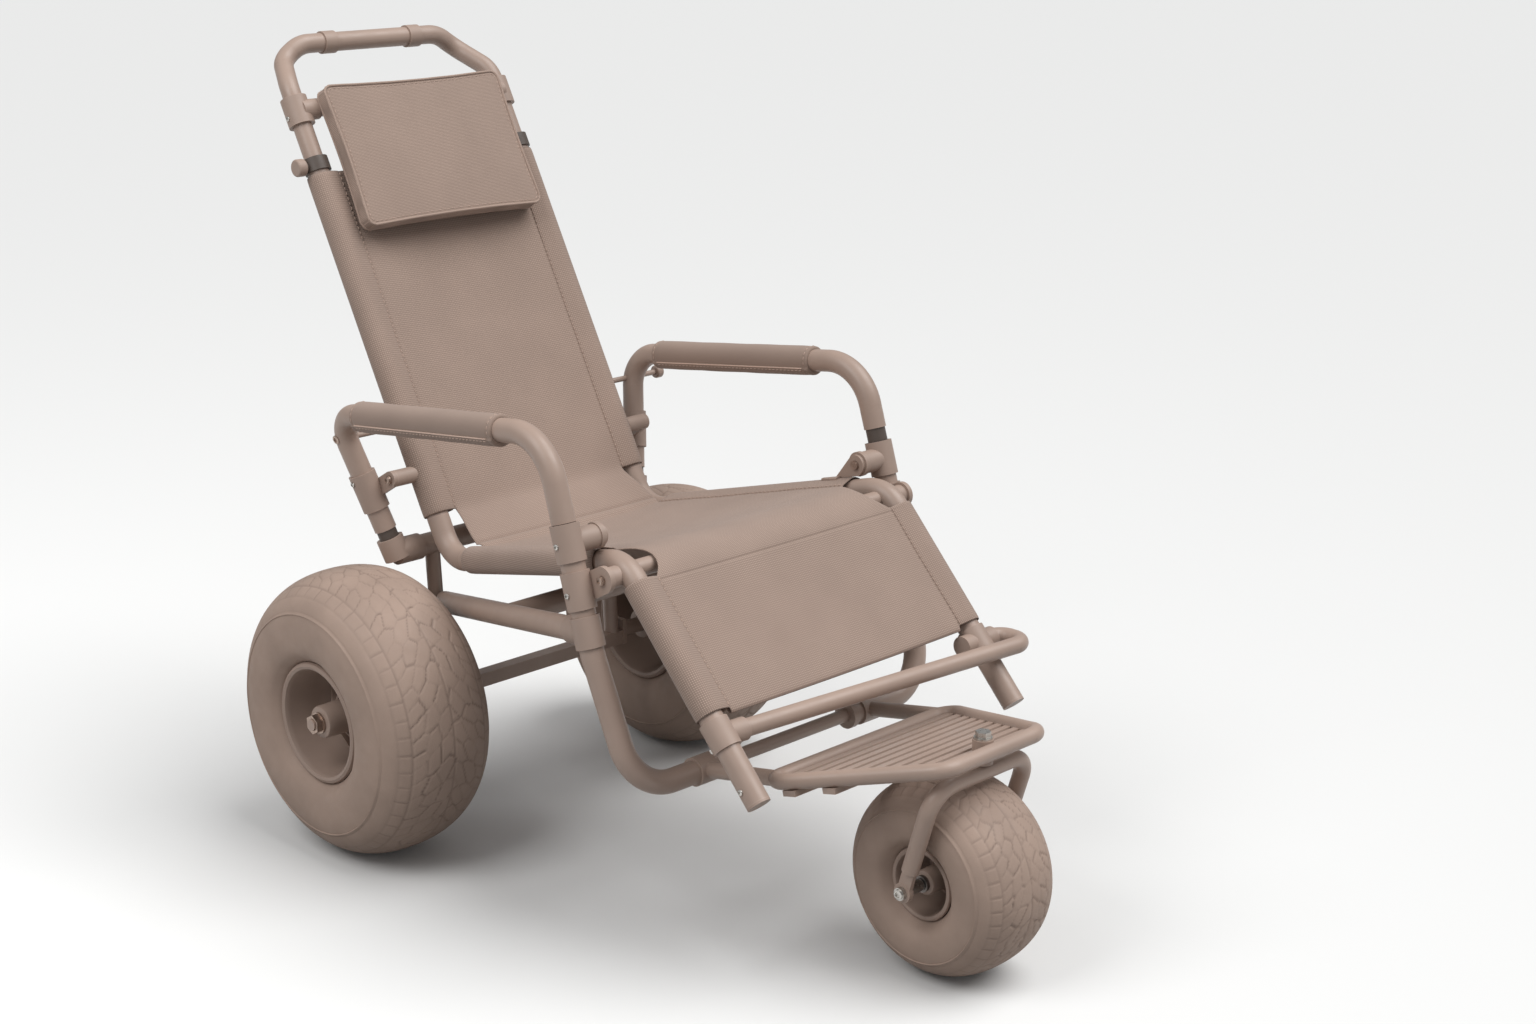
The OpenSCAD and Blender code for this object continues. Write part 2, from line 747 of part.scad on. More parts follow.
module arm_pad(side) {
    round_r = (arm_pad_d - tube_d) / 2 - pad_clear;
    start = arm_front + arm_dir * pad_front_back;
    color(fabric_colour) from_axle() scale_side(side) along(start, start + arm_dir)
        rotate_extrude() translate([tube_r + pad_clear, 0]) union() {
            translate([0, round_r]) square([round_r, arm_pad_l - 2 * round_r]);
            intersection() {
                translate([0, round_r]) circle(round_r);
                square(round_r);
            }
            translate([0, arm_pad_l - round_r]) intersection() {
                circle(round_r);
                square(round_r);
            }
        }
}

module arm_pad_right() { arm_pad(-1); }

module arm_pad_left() { arm_pad(1); }

// Inner tubes at the four feet of the arms
module arm_spigots() {
    reach = 60;
    reach_up = 34;
    spigot_d = bore_d - 2 * fit_gap;
    color(dark_colour) from_axle() for (side = sides) scale_side(side) {
        pipe(upright_top - upright_dir * reach, arm_foot_front(side) + upright_dir * reach_up,
            spigot_d, spigot_d - 2 * tube_wall);
        pipe(rear_tee + rear_leg_dir * 2, arm_foot_rear + rear_leg_dir * reach,
            spigot_d, spigot_d - 2 * tube_wall);
    }
}

module arm_rear_tees() {
    color(frame_colour) from_axle() both_sides() difference() {
        tee_body(lug_tee, rear_leg_dir, tee_len + 8)
            strap_plate(lug_tee, back_pin, lug_r - 7, back_lug_x, lug_t);
        x_rod(back_pin, back_lug_x - 1, back_lug_x + lug_t + 1, bolt_d + 2 * fit_gap);
    }
}

module stay_bar() {
    color(frame_colour) from_axle() x_rod(stay_at, -stay_at.x, stay_knob_x + 8, stay_d);
}

module stay_knob() {
    stay_knob_d = 24;
    color(frame_colour) from_axle() difference() {
        round_knob(stay_at, stay_knob_x, stay_knob_d, 16);
        x_rod(stay_at, stay_knob_x - 1, stay_knob_x + 8 + slide_gap, stay_d + 2 * slide_gap);
    }
}

// A turned knob with round edges, from x outwards
module round_knob(p, x, d, l) {
    r = 4;
    translate([x, p.y, p.z]) rotate([0, 90, 0]) rotate_extrude() union() {
        square([d / 2 - r, l]);
        translate([0, r]) square([d / 2, l - 2 * r]);
        translate([d / 2 - r, r]) circle(r);
        translate([d / 2 - r, l - r]) circle(r);
    }
}

// Footplate

foot_corners = [for (c = [[foot_rear_w, foot_rear], [foot_front_w, foot_front]]) c[1] + [c[0] / 2, 0, 0]];

module footplate_loop(od, id) {
    rear_bend = 30;
    front_bend = 34;
    tube_run([foot_rear, foot_corners[0], foot_corners[1], flip(foot_corners[1], -1),
        flip(foot_corners[0], -1), foot_rear],
        [0, rear_bend, front_bend, front_bend, rear_bend, 0], od, id);
}

module head_solid(extra) {
    translate([0, stem_y, crown_z + fork_d / 2 + 1])
        cylinder(r = head_r + extra, h = head_top - crown_z - fork_d / 2 - 1);
}

module footplate_frame() {
    color(frame_colour) from_axle() difference() {
        footplate_loop(foot_tube_d, foot_tube_d - 2 * tube_wall);
        head_solid(fit_gap);
    }
}

slat_w = 15;
slat_t = 5;
slat_sink = 9;

// Slats welded between two cross straps and the side tubes
module footplate_grid() {
    pitch = (foot_len - foot_tube_d - 6) / slat_count;
    strap_w = 26;
    strap_t = 9;
    strap_drop = foot_tube_r + strap_t;
    color(frame_colour) from_axle() difference() {
        frame_at(foot_front, [1, 0, 0], foot_dir, foot_up) {
            for (i = [0 : slat_count - 1]) {
                y = foot_tube_r + 3 + pitch * (i + 0.5);
                half = mix(foot_front_w, foot_rear_w, y / foot_len) / 2;
                translate([-half, y - slat_w / 2, foot_tube_r - slat_t - slat_sink])
                    cube([2 * half, slat_w, slat_t]);
            }
            for (y = [foot_len * 0.62, foot_len * 0.84]) {
                half = mix(foot_front_w, foot_rear_w, y / foot_len) / 2 + 8;
                translate([-half, y - strap_w / 2, -strap_drop]) cube([2 * half, strap_w, strap_t]);
            }
        }
        footplate_loop(foot_tube_d + 2 * fit_gap, 0);
        head_solid(fit_gap);
    }
}

// Arms that carry the footplate, each with a clamp on the low stub of its upright
module footplate_arms() {
    clamp_w = 40;
    at = [foot_arm_x, upright_low.y, upright_low.z];
    meet = [foot_arm_x, foot_rear.y, foot_rear.z];
    color(frame_colour) from_axle() both_sides() difference() {
        union() {
            x_rod(at, foot_arm_x - clamp_w / 2, foot_arm_x + clamp_w / 2, fitting_d);
            pipe(at, meet, foot_tube_d);
        }
        x_rod(at, foot_arm_x - clamp_w, foot_arm_x + clamp_w, tube_d + 2 * fit_gap);
        footplate_loop(foot_tube_d + 2 * fit_gap, 0);
    }
}

module caster_head() {
    color(frame_colour) from_axle() difference() {
        head_solid(0);
        translate([0, stem_y, crown_z]) cylinder(d = stem_d + 2 * slide_gap, h = head_top);
    }
}

// Fasteners

// A button head seated on a round fitting: p on the axis, dir along it, out the way the head faces
module seated_screw(p, dir, out, r) {
    screw_d = 9;
    screw_h = 3;
    difference() {
        pipe(p + out * (r - 2), p + out * (r + screw_h), screw_d);
        pipe(p - dir * screw_d, p + dir * screw_d, 2 * r);
    }
}

module set_screws() {
    outward = [1, 0, 0];
    rear_out = unit(cross(rear_leg_dir, [0, 1, 0]));
    leg_out = outward * cos(60) - leg_front * sin(60);
    color(screw_colour) from_axle() {
        both_sides() {
            seated_screw(upper_tee - upright_dir * 2, upright_dir, outward, fitting_r);
            seated_screw(lower_tee - upright_dir * 4, upright_dir, outward, fitting_r);
            seated_screw(lug_tee + rear_leg_dir * 22, rear_leg_dir, -rear_out, fitting_r);
            seated_screw(along_leg(leg_len - 28), leg_dir, outward, tube_r);
            seated_screw(leg_tee + leg_dir * 13, leg_dir, leg_out, fitting_r);
        }
    }
}

// Bolts through the knee lugs, the seat brackets and the back lugs
module pivot_bolts() {
    head_d = 15;
    head_h = 5;
    color(screw_colour) from_axle() both_sides() {
        x_rod(knee_pin, knee.x + tube_r + 1, knee_lug_x + lug_t, bolt_d);
        x_rod(knee_pin, knee_lug_x + lug_t, knee_lug_x + lug_t + head_h, head_d);
        x_rod(back_pin, back_pin.x + sleeve_r + 1, back_lug_x + lug_t, bolt_d);
        x_rod(back_pin, back_lug_x + lug_t, back_lug_x + lug_t + head_h, head_d);
        x_rod(upper_tee, bracket_x, hinge_x + hinge_t + 4, bolt_d);
        x_rod(upper_tee, bracket_x - head_h, bracket_x, head_d);
    }
}

// Handle and headrest

module push_handle() {
    half = [along_back(handle_foot), handle_bend, handle_neck, handle_bar];
    color(frame_colour) from_axle() tube_run(
        concat(half, [for (i = [3 : -1 : 0]) flip(half[i], -1)]),
        concat([0], handle_bends, [for (i = [2 : -1 : 0]) handle_bends[i]], [0]),
        handle_leg_d, handle_leg_d - 2 * tube_wall);
}

module handle_collars() {
    collar_l = 26;
    color(frame_colour) from_axle() both_sides() translate([handle_collar_x, 0, 0])
        pipe([-collar_l / 2, handle_bar.y, handle_bar.z], [collar_l / 2, handle_bar.y, handle_bar.z],
            handle_leg_d + 6, handle_leg_d + 2 * fit_gap);
}

bar_ahead = 8;
handle_tee_at = along_back(tee_at) + back_front * bar_ahead;
handle_branch = 34;

module handle_tees() {
    color(frame_colour) from_axle() both_sides() difference() {
        union() {
            pipe(along_back(tee_at - handle_tee_len / 2), along_back(tee_at + handle_tee_len / 2), fitting_d);
            x_rod(handle_tee_at, handle_tee_at.x - handle_branch, handle_tee_at.x, bar_d + 8);
        }
        pipe(along_back(tee_at - tee_len), along_back(tee_at + tee_len), handle_leg_d + 2 * fit_gap);
        x_rod(handle_tee_at, handle_tee_at.x - handle_branch - 1, handle_tee_at.x, bar_d + 2 * fit_gap);
    }
}

module headrest_bar() {
    half = handle_tee_at.x - handle_leg_d / 2 - 1;
    middle = handle_tee_at - [handle_tee_at.x, 0, 0];
    color(frame_colour) from_axle()
        pipe(middle - [half, 0, 0], middle + [half, 0, 0], bar_d, bar_d - 2 * tube_wall);
}

// Crown of the pillow: 1 in the middle, falling to 0 on the edge
function crown(u, v) = pow((1 - pow(abs(u), 3)) * (1 - pow(abs(v), 3)), 0.5);

// A crowned cushion with drawn-in sides; its back lies on the headrest bar.
module headrest_pillow() {
    cells = 16;
    draw_in = 7;
    edge_t = 16;
    back_crown = 7;
    bar_in = 27;
    middle = handle_tee_at - [handle_tee_at.x, 0, 0] - back_dir * (pillow_l / 2 - bar_in);
    mid_n = bar_d / 2 + pillow_gap + edge_t / 2 + back_crown * crown(0, 1 - 2 * bar_in / pillow_l);
    front_crown = pillow_t - back_crown - edge_t;
    steps = [for (i = [0 : cells]) sin(90 * (2 * i / cells - 1))];
    flat = [for (v = steps) [for (u = steps)
        middle + [u * (pillow_w / 2 - draw_in * (1 - v * v)), 0, 0]
            - back_dir * v * (pillow_l / 2 - draw_in * (1 - u * u))]];
    rise = [for (v = steps) [for (u = steps) crown(u, v)]];
    color(fabric_colour) from_axle() skin(
        [for (i = [0 : cells]) [for (j = [0 : cells])
            flat[i][j] + back_front * (mid_n + edge_t / 2 + front_crown * rise[i][j])]],
        [for (i = [0 : cells]) [for (j = [0 : cells])
            flat[i][j] + back_front * (mid_n - edge_t / 2 - back_crown * rise[i][j])]]);
}

// Stepped clamp rings: the lower half grips the back tube, the upper half closes on the handle leg.
module clamp_collars() {
    top = collar_at + collar_h / 2;
    boss_d = 18;
    color(dark_colour) from_axle() for (side = sides) scale_side(side) difference() {
        union() {
            pipe(along_back(collar_at - collar_h / 2), along_back(top), fitting_d);
            if (side < 0) x_rod(along_back(collar_at), corner.x, knob_x - 1, boss_d);
        }
        pipe(along_back(collar_at - collar_h), along_back(back_len), tube_d + 2 * fit_gap);
        pipe(along_back(collar_at), along_back(top + 1), handle_leg_d + 2 * slide_gap);
        if (side < 0) x_rod(along_back(collar_at), corner.x + tube_r + 1, knob_x, bolt_d + 2 * slide_gap);
    }
}

module clamp_knob() {
    knob_l = 18;
    color(dark_colour) from_axle() scale_side(-1) {
        round_knob(along_back(collar_at), knob_x, knob_d, knob_l);
        x_rod(along_back(collar_at), corner.x + tube_r + 1.5, knob_x, bolt_d);
    }
}

// Wheels, modelled on the X axis about the origin

// Half of a balloon tyre's section as points: half width a, from the bead radius to the tread
function tyre_edge(a, r_in, r_out, n) = [for (i = [0 : n])
    let (t = 180 * i / n, h = (r_out - r_in) / 2, k = 2 / 2.3)
    [r_in + h + h * -sign(cos(t)) * pow(abs(cos(t)), k), a * pow(abs(sin(t)), k)]];

function both_flanks(edge) = concat(edge, [for (i = [len(edge) - 2 : -1 : 1]) [edge[i].x, -edge[i].y]]);

// The section is cut where it meets the rim, so that the beads sit on the rim's lips.
module tyre(d, w, rim_d, rim_w) {
    points = 26;
    power = 2.3;
    foot = pow(1 - pow(rim_w / w, power), 1 / power);
    h = (d - rim_d) / 2 / (1 + foot);
    r_in = d / 2 - 2 * h;
    rotate([0, 90, 0]) rotate_extrude() difference() {
        polygon(both_flanks(tyre_edge(w / 2, r_in, d / 2, points)));
        polygon(both_flanks(tyre_edge(w / 2 - tyre_wall, r_in + tyre_wall, d / 2 - tyre_wall, points)));
        square([rim_d + 2 * fit_gap, 2 * w], center = true);
    }
}

// A dished rim: two lips, a drum between them, a web and a hub
module rim(d, w, hub_d, bore, hub_w) {
    lip_h = 7;
    wall = 4;
    web_t = 6;
    drum = d / 2 - wall - lip_h;
    rotate([0, 90, 0]) rotate_extrude() union() {
        for (start = [-w / 2, w / 2 - wall]) translate([drum, start]) square([lip_h + wall, wall]);
        translate([drum, -w / 2]) square([wall, w]);
        translate([hub_d / 2 - 1, -web_t / 2]) square([drum - hub_d / 2 + 2, web_t]);
        translate([bore / 2, -hub_w / 2]) square([(hub_d - bore) / 2, hub_w]);
    }
}

module bearings(d, bore, hub_w) {
    bearing_w = 12;
    first = hub_w / 2 - bearing_in - bearing_w;
    rotate([0, 90, 0]) for (start = [first, -first - bearing_w]) translate([0, 0, start])
        rotate_extrude() translate([bore / 2, 0]) square([d / 2 - bore / 2, bearing_w]);
}

bearing_wall = 8;
rear_bearing_d = axle_d + 2 * bearing_wall;
rear_hub_d = rear_bearing_d + 12;
rear_hub_w = 2 * hub_half;
front_axle_d = 12;
front_bearing_d = front_axle_d + 14;
front_hub_d = front_bearing_d + 10;
front_hub_w = front_tyre_w - 35;
run_gap = 0.05;

module at_rear_wheel(side) {
    from_axle() translate([side * wheel_x, 0, axle_z]) children();
}

module at_front_wheel() {
    from_axle() translate([0, -wheelbase, front_axle_z]) children();
}

module rear_tyre(side) {
    color(tyre_colour) at_rear_wheel(side) tyre(rear_tyre_d, rear_tyre_w, rear_rim_d, rear_rim_w);
}

module rear_rim(side) {
    color(frame_colour) at_rear_wheel(side)
        rim(rear_rim_d, rear_rim_w, rear_hub_d, rear_bearing_d, rear_hub_w);
}

module rear_bearings(side) {
    color(screw_colour) at_rear_wheel(side)
        bearings(rear_bearing_d, axle_d + 2 * run_gap, rear_hub_w);
}

module rear_tyre_right() { rear_tyre(-1); }

module rear_tyre_left() { rear_tyre(1); }

module rear_rim_right() { rear_rim(-1); }

module rear_rim_left() { rear_rim(1); }

module rear_bearings_right() { rear_bearings(-1); }

module rear_bearings_left() { rear_bearings(1); }

// Washers and nuts that hold the rear wheels on their stub axles
module axle_nuts() {
    washer_t = 3;
    nut_t = 12;
    start = wheel_x + hub_half + slide_gap;
    axle = [0, 0, axle_z];
    color(screw_colour) from_axle() both_sides() difference() {
        union() {
            x_rod(axle, start, start + washer_t, axle_d + 16);
            translate([start + washer_t, 0, axle_z]) rotate([0, 90, 0])
                cylinder(d = axle_d + 14, h = nut_t, $fn = 6);
        }
        x_rod(axle, start - 1, start + nut_t + washer_t + 1, axle_d + 2 * fit_gap);
    }
}

module front_tyre() {
    color(tyre_colour) at_front_wheel() tyre(front_tyre_d, front_tyre_w, front_rim_d, front_rim_w);
}

module front_rim() {
    color(frame_colour) at_front_wheel()
        rim(front_rim_d, front_rim_w, front_hub_d, front_bearing_d, front_hub_w);
}

module front_bearings() {
    color(screw_colour) at_front_wheel()
        bearings(front_bearing_d, front_axle_d + 2 * run_gap, front_hub_w);
}

dropout_t = 8;
fork_eye_t = dropout_t + 1;
fork_eye_d = 31;
fork_end = [fork_x, -wheelbase, front_axle_z];
fork_corner = [fork_x, stem_y, crown_z];
fork_dir = unit(fork_corner - fork_end);

// The axle bolt with its heads, and spacers between the hub and the fork ends
module front_axle() {
    head_t = 7;
    head_d = 20;
    spacer_d = front_axle_d + 7;
    outer = fork_x + fork_eye_t / 2;
    axle = [0, -wheelbase, front_axle_z];
    color(screw_colour) from_axle() {
        x_rod(axle, -outer, outer, front_axle_d);
        both_sides() {
            x_rod(axle, outer, outer + head_t, head_d);
            x_rod(axle, front_hub_w / 2 + slide_gap, fork_x - fork_eye_t / 2, spacer_d);
        }
    }
}

// One bent tube with flat ends on the axle, and the swivel stem welded on its crown
module caster_fork() {
    flat_l = 40;
    tube_end = fork_end + fork_dir * flat_l;
    color(frame_colour) from_axle() {
        tube_run([tube_end, fork_corner, flip(fork_corner, -1), flip(tube_end, -1)],
            [0, 44, 44, 0], fork_d, fork_d - 2 * tube_wall);
        both_sides() difference() {
            union() {
                strap_plate(fork_end, tube_end + fork_dir * 8, fork_d / 2 - tube_wall - 0.5,
                    fork_x - dropout_t / 2, dropout_t);
                x_rod(fork_end, fork_x - fork_eye_t / 2, fork_x + fork_eye_t / 2, fork_eye_d);
            }
            x_rod(fork_end, fork_x - dropout_t, fork_x + dropout_t, front_axle_d + 2 * fit_gap);
        }
        difference() {
            translate([0, stem_y, crown_z]) cylinder(d = stem_d, h = head_top + stem_nut_h - 2 - crown_z);
            x_rod(fork_corner, -stem_d, stem_d, fork_d - 2 * tube_wall);
        }
    }
}

module stem_nut() {
    color(screw_colour) from_axle() translate([0, stem_y, head_top + slide_gap]) difference() {
        union() {
            cylinder(d = stem_d + 12, h = 2.5);
            cylinder(d = stem_d + 8, h = stem_nut_h + 1, $fn = 6);
        }
        translate([0, 0, -1]) cylinder(d = stem_d + 2 * fit_gap, h = stem_nut_h);
    }
}

upright_right();
upright_left();
lower_cross_rod();
upper_tees();
lower_tees();
base_tees();
seat_brackets();
saddles();
side_rail_right();
side_rail_left();
rear_cross_tube();
middle_cross_tube();
rear_axle_frame();
axle_nuts();
arm_spigots();
arm_tube_right();
arm_tube_left();
arm_pad_right();
arm_pad_left();
arm_rear_tees();
stay_bar();
stay_knob();
back_tube_right();
back_tube_left();
elbows();
seat_leg_tube_right();
seat_leg_tube_left();
knee_cross_tube();
foot_bar();
leg_tees();
leg_end_caps();
sling_back();
sling_seat();
sling_leg();
footplate_frame();
footplate_grid();
footplate_arms();
caster_head();
set_screws();
pivot_bolts();
push_handle();
handle_collars();
handle_tees();
headrest_bar();
headrest_pillow();
clamp_collars();
clamp_knob();
rear_tyre_right();
rear_rim_right();
rear_bearings_right();
rear_tyre_left();
rear_rim_left();
rear_bearings_left();
front_tyre();
front_rim();
front_bearings();
front_axle();
caster_fork();
stem_nut();
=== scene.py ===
from math import acos, atan2, cos, exp, pi, radians, sin, sqrt
from random import Random

import bpy
from mathutils import Matrix, Vector, noise
from mathutils.kdtree import KDTree


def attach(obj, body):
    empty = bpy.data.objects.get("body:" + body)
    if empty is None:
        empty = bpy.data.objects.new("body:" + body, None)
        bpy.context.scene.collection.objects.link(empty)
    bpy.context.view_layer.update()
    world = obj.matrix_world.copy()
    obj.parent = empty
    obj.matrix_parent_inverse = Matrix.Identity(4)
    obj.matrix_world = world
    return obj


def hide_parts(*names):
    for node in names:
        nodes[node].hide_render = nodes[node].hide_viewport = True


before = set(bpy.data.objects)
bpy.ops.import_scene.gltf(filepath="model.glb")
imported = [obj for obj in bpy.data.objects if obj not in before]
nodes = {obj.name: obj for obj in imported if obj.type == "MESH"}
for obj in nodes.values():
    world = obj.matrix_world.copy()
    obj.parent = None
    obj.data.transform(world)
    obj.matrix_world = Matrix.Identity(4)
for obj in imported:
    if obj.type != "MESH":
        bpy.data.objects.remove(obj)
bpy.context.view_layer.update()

# Camera
# It looks down on the chair's right front corner, from about 4.3 m away, at the height of a standing person.
bpy.ops.object.camera_add(
    location=(-2.5077, -2.7483, 1.6806),
    rotation=(radians(90 - 16.304), 0, radians(-44.964)),
)
camera = bpy.context.object
camera.name = "photo_camera"
camera.data.sensor_width = 36
camera.data.lens = 55.056
camera.data.clip_end = 200
scene = bpy.context.scene
scene.camera = camera
scene.view_settings.view_transform = "Standard"

# Floor and light
# A wide pale floor under one broad overhead light with a weak fill, so that paint and cloth show true.
# The floor throws back less light than it shows, as a floor in a large room does.
bpy.ops.mesh.primitive_plane_add(size=120, location=(0, 0, 0))
floor_sheet = bpy.context.object
floor_sheet.name = "floor_sheet"


def wire(tree, source, out, target, into):
    tree.links.new(source.outputs[out], target.inputs[into])


def new_finish(name):
    finish = bpy.data.materials.new(name)
    finish.use_nodes = True
    return finish, finish.node_tree, finish.node_tree.nodes["Principled BSDF"]


def feed(node, values):
    """Sets a node's inputs by their names."""
    for name, value in values.items():
        node.inputs[name].default_value = value


def either(tree, first, first_out, second, second_out):
    """The higher of two outputs."""
    higher = tree.nodes.new("ShaderNodeMath")
    higher.operation = "MAXIMUM"
    wire(tree, first, first_out, higher, 0)
    wire(tree, second, second_out, higher, 1)
    return higher


floor_finish, floor_tree, floor_shader = new_finish("pale_floor")
feed(floor_shader, {"Roughness": 0.9, "Specular IOR Level": 0.1})
seen = floor_tree.nodes.new("ShaderNodeLightPath")
mirrored = either(floor_tree, seen, "Is Glossy Ray", seen, "Is Transmission Ray")
shown = either(floor_tree, seen, "Is Camera Ray", mirrored, "Value")
floor_tone = floor_tree.nodes.new("ShaderNodeMix")
floor_tone.data_type = "RGBA"
feed(floor_tone, {"A": (0.3, 0.3, 0.3, 1), "B": (0.8, 0.8, 0.79, 1)})
wire(floor_tree, shown, "Value", floor_tone, "Factor")
wire(floor_tree, floor_tone, "Result", floor_shader, "Base Color")
floor_sheet.data.materials.append(floor_finish)

world = bpy.data.worlds.new("soft_room")
scene.world = world
world.use_nodes = True
feed(world.node_tree.nodes["Background"], {"Color": (0.97, 0.98, 1, 1), "Strength": 0.37})


def hang_lamp(kind, name, place, aim, power):
    bpy.ops.object.light_add(type=kind, location=place)
    lamp = bpy.context.object
    lamp.name = name
    lamp.rotation_euler = (Vector(aim) - Vector(place)).to_track_quat("-Z", "Y").to_euler()
    lamp.data.energy = power
    return lamp.data


key = hang_lamp("SUN", "overhead_light", (1.3, -1.6, 4), (0, 0, 0.5), 2.5)
key.angle = radians(50)
fill = hang_lamp("AREA", "fill_lamp", (-2.9, 0.2, 3.6), (0, 0, 0.6), 75)
fill.size = 2.4

# Base tubes and tees
# Bent and straight aluminium tubes, cast tees pushed over them, a square axle beam on two posts.
# All of it is powder coated in one warm taupe, a satin skin with a faint orange peel.
TAUPE = (0.372, 0.272, 0.221)


def spots(tree, scale, detail, low, high, start=0.35, stop=0.65):
    """A noise on Object coordinates, run through a ramp from low to high."""
    place = tree.nodes.new("ShaderNodeTexCoord")
    grain = tree.nodes.new("ShaderNodeTexNoise")
    feed(grain, {"Scale": scale, "Detail": detail})
    ramp = tree.nodes.new("ShaderNodeValToRGB")
    ramp.color_ramp.elements[0].position = start
    ramp.color_ramp.elements[1].position = stop
    ramp.color_ramp.elements[0].color = (*low, 1)
    ramp.color_ramp.elements[1].color = (*high, 1)
    wire(tree, place, "Object", grain, "Vector")
    wire(tree, grain, "Fac", ramp, "Fac")
    return ramp


def raise_by(tree, source, out, shader, strength, distance):
    """Bump on a shader from one output of another node."""
    bump = tree.nodes.new("ShaderNodeBump")
    feed(bump, {"Strength": strength, "Distance": distance})
    wire(tree, source, out, bump, "Height")
    wire(tree, bump, "Normal", shader, "Normal")


def scaled(colour, by):
    return tuple(c * by for c in colour)


def lighten_edges(tree, width, start, stop):
    """1 along the edges of a piece and 0 on its open faces, where the paint colour is made lighter."""
    round_over = tree.nodes.new("ShaderNodeBevel")
    round_over.samples = 4
    round_over.inputs["Radius"].default_value = width
    face = tree.nodes.new("ShaderNodeNewGeometry")
    turn = tree.nodes.new("ShaderNodeVectorMath")
    turn.operation = "DOT_PRODUCT"
    spread = tree.nodes.new("ShaderNodeMapRange")
    feed(spread, {"From Min": start, "From Max": stop})
    wire(tree, round_over, "Normal", turn, 0)
    wire(tree, face, "Normal", turn, 1)
    wire(tree, turn, "Value", spread, "Value")
    return spread


def tint_by(tree, source, out, ground, colour, shader):
    """The shader's base colour: a ground that changes to another colour where the source is high."""
    blend = tree.nodes.new("ShaderNodeMix")
    blend.data_type = "RGBA"
    blend.inputs["B"].default_value = (*colour, 1)
    wire(tree, source, out, blend, "Factor")
    wire(tree, ground, "Color", blend, "A")
    wire(tree, blend, "Result", shader, "Base Color")


def powder_coat(name, colour, rough):
    finish, tree, shader = new_finish(name)
    mottle = spots(tree, 9, 3, scaled(colour, 0.95), scaled(colour, 1.04))
    edge = lighten_edges(tree, 0.0015, 0.985, 0.9)
    # The colour is made 1.22 times lighter along the edges.
    tint_by(tree, edge, "Result", mottle, scaled(colour, 1.22), shader)
    dull = spots(tree, 40, 2, (rough - 0.05,) * 3, (rough + 0.06,) * 3)
    wire(tree, dull, "Color", shader, "Roughness")
    peel = spots(tree, 700, 1, (0, 0, 0), (1, 1, 1))
    raise_by(tree, peel, "Color", shader, 0.08, 0.0004)
    return finish


frame_paint = powder_coat("taupe_powder_coat", TAUPE, 0.42)
cast_paint = powder_coat("cast_fitting_paint", scaled(TAUPE, 0.96), 0.5)


def dress(finish, *names):
    for name in names:
        piece = nodes[name]
        piece.data.materials.clear()
        piece.data.materials.append(finish)


dress(frame_paint, "upright_right", "upright_left", "lower_cross_rod", "side_rail_right", "side_rail_left")
dress(frame_paint, "rear_cross_tube", "middle_cross_tube", "rear_axle_frame")
dress(cast_paint, "upper_tees", "lower_tees", "base_tees", "seat_brackets", "saddles")

# Rear wheels
# Low-pressure balloon tyres moulded in one with their tread, on moulded rims with a deep ribbed dish.
# Each runs on two ball bearings on a fixed stub axle, held by a washer and a nut.
MM = 0.001
TREAD_PITCH = 2.6
TREAD_LEAN = 0.75
BACK_SHIFT = 367.714


def at(x, y, z):
    """A place in the part's frame, in metres, from millimetres measured from the rear axle."""
    return Vector((x * MM, (y + BACK_SHIFT) * MM, z * MM))


def rename(piece, name):
    piece.name = name
    piece.data.name = name


def spin_up(name, section, centre, turns):
    """Spins a closed section of (across, radius) points in millimetres about the X axis through centre."""
    bpy.ops.mesh.primitive_circle_add(vertices=len(section), radius=0.1, location=(0, 0, 0))
    piece = bpy.context.object
    rename(piece, name)
    for vertex, (across, radius) in zip(piece.data.vertices, section):
        vertex.co = centre + Vector((across * MM, 0, radius * MM))
    bpy.ops.object.mode_set(mode="EDIT")
    bpy.ops.mesh.select_all(action="SELECT")
    bpy.ops.mesh.spin(steps=turns, angle=2 * pi, center=centre, axis=(1, 0, 0))
    bpy.ops.mesh.select_all(action="SELECT")
    bpy.ops.mesh.remove_doubles(threshold=0.00002)
    bpy.ops.mesh.normals_make_consistent(inside=False)
    bpy.ops.mesh.select_all(action="DESELECT")
    bpy.ops.object.mode_set(mode="OBJECT")
    return piece


def mix(a, b, t):
    return a + (b - a) * t


def fade(low, high, value):
    """0 up to low, 1 from high on, and a smooth change between."""
    t = min(1, max(0, (value - low) / (high - low)))
    return t * t * (3 - 2 * t)


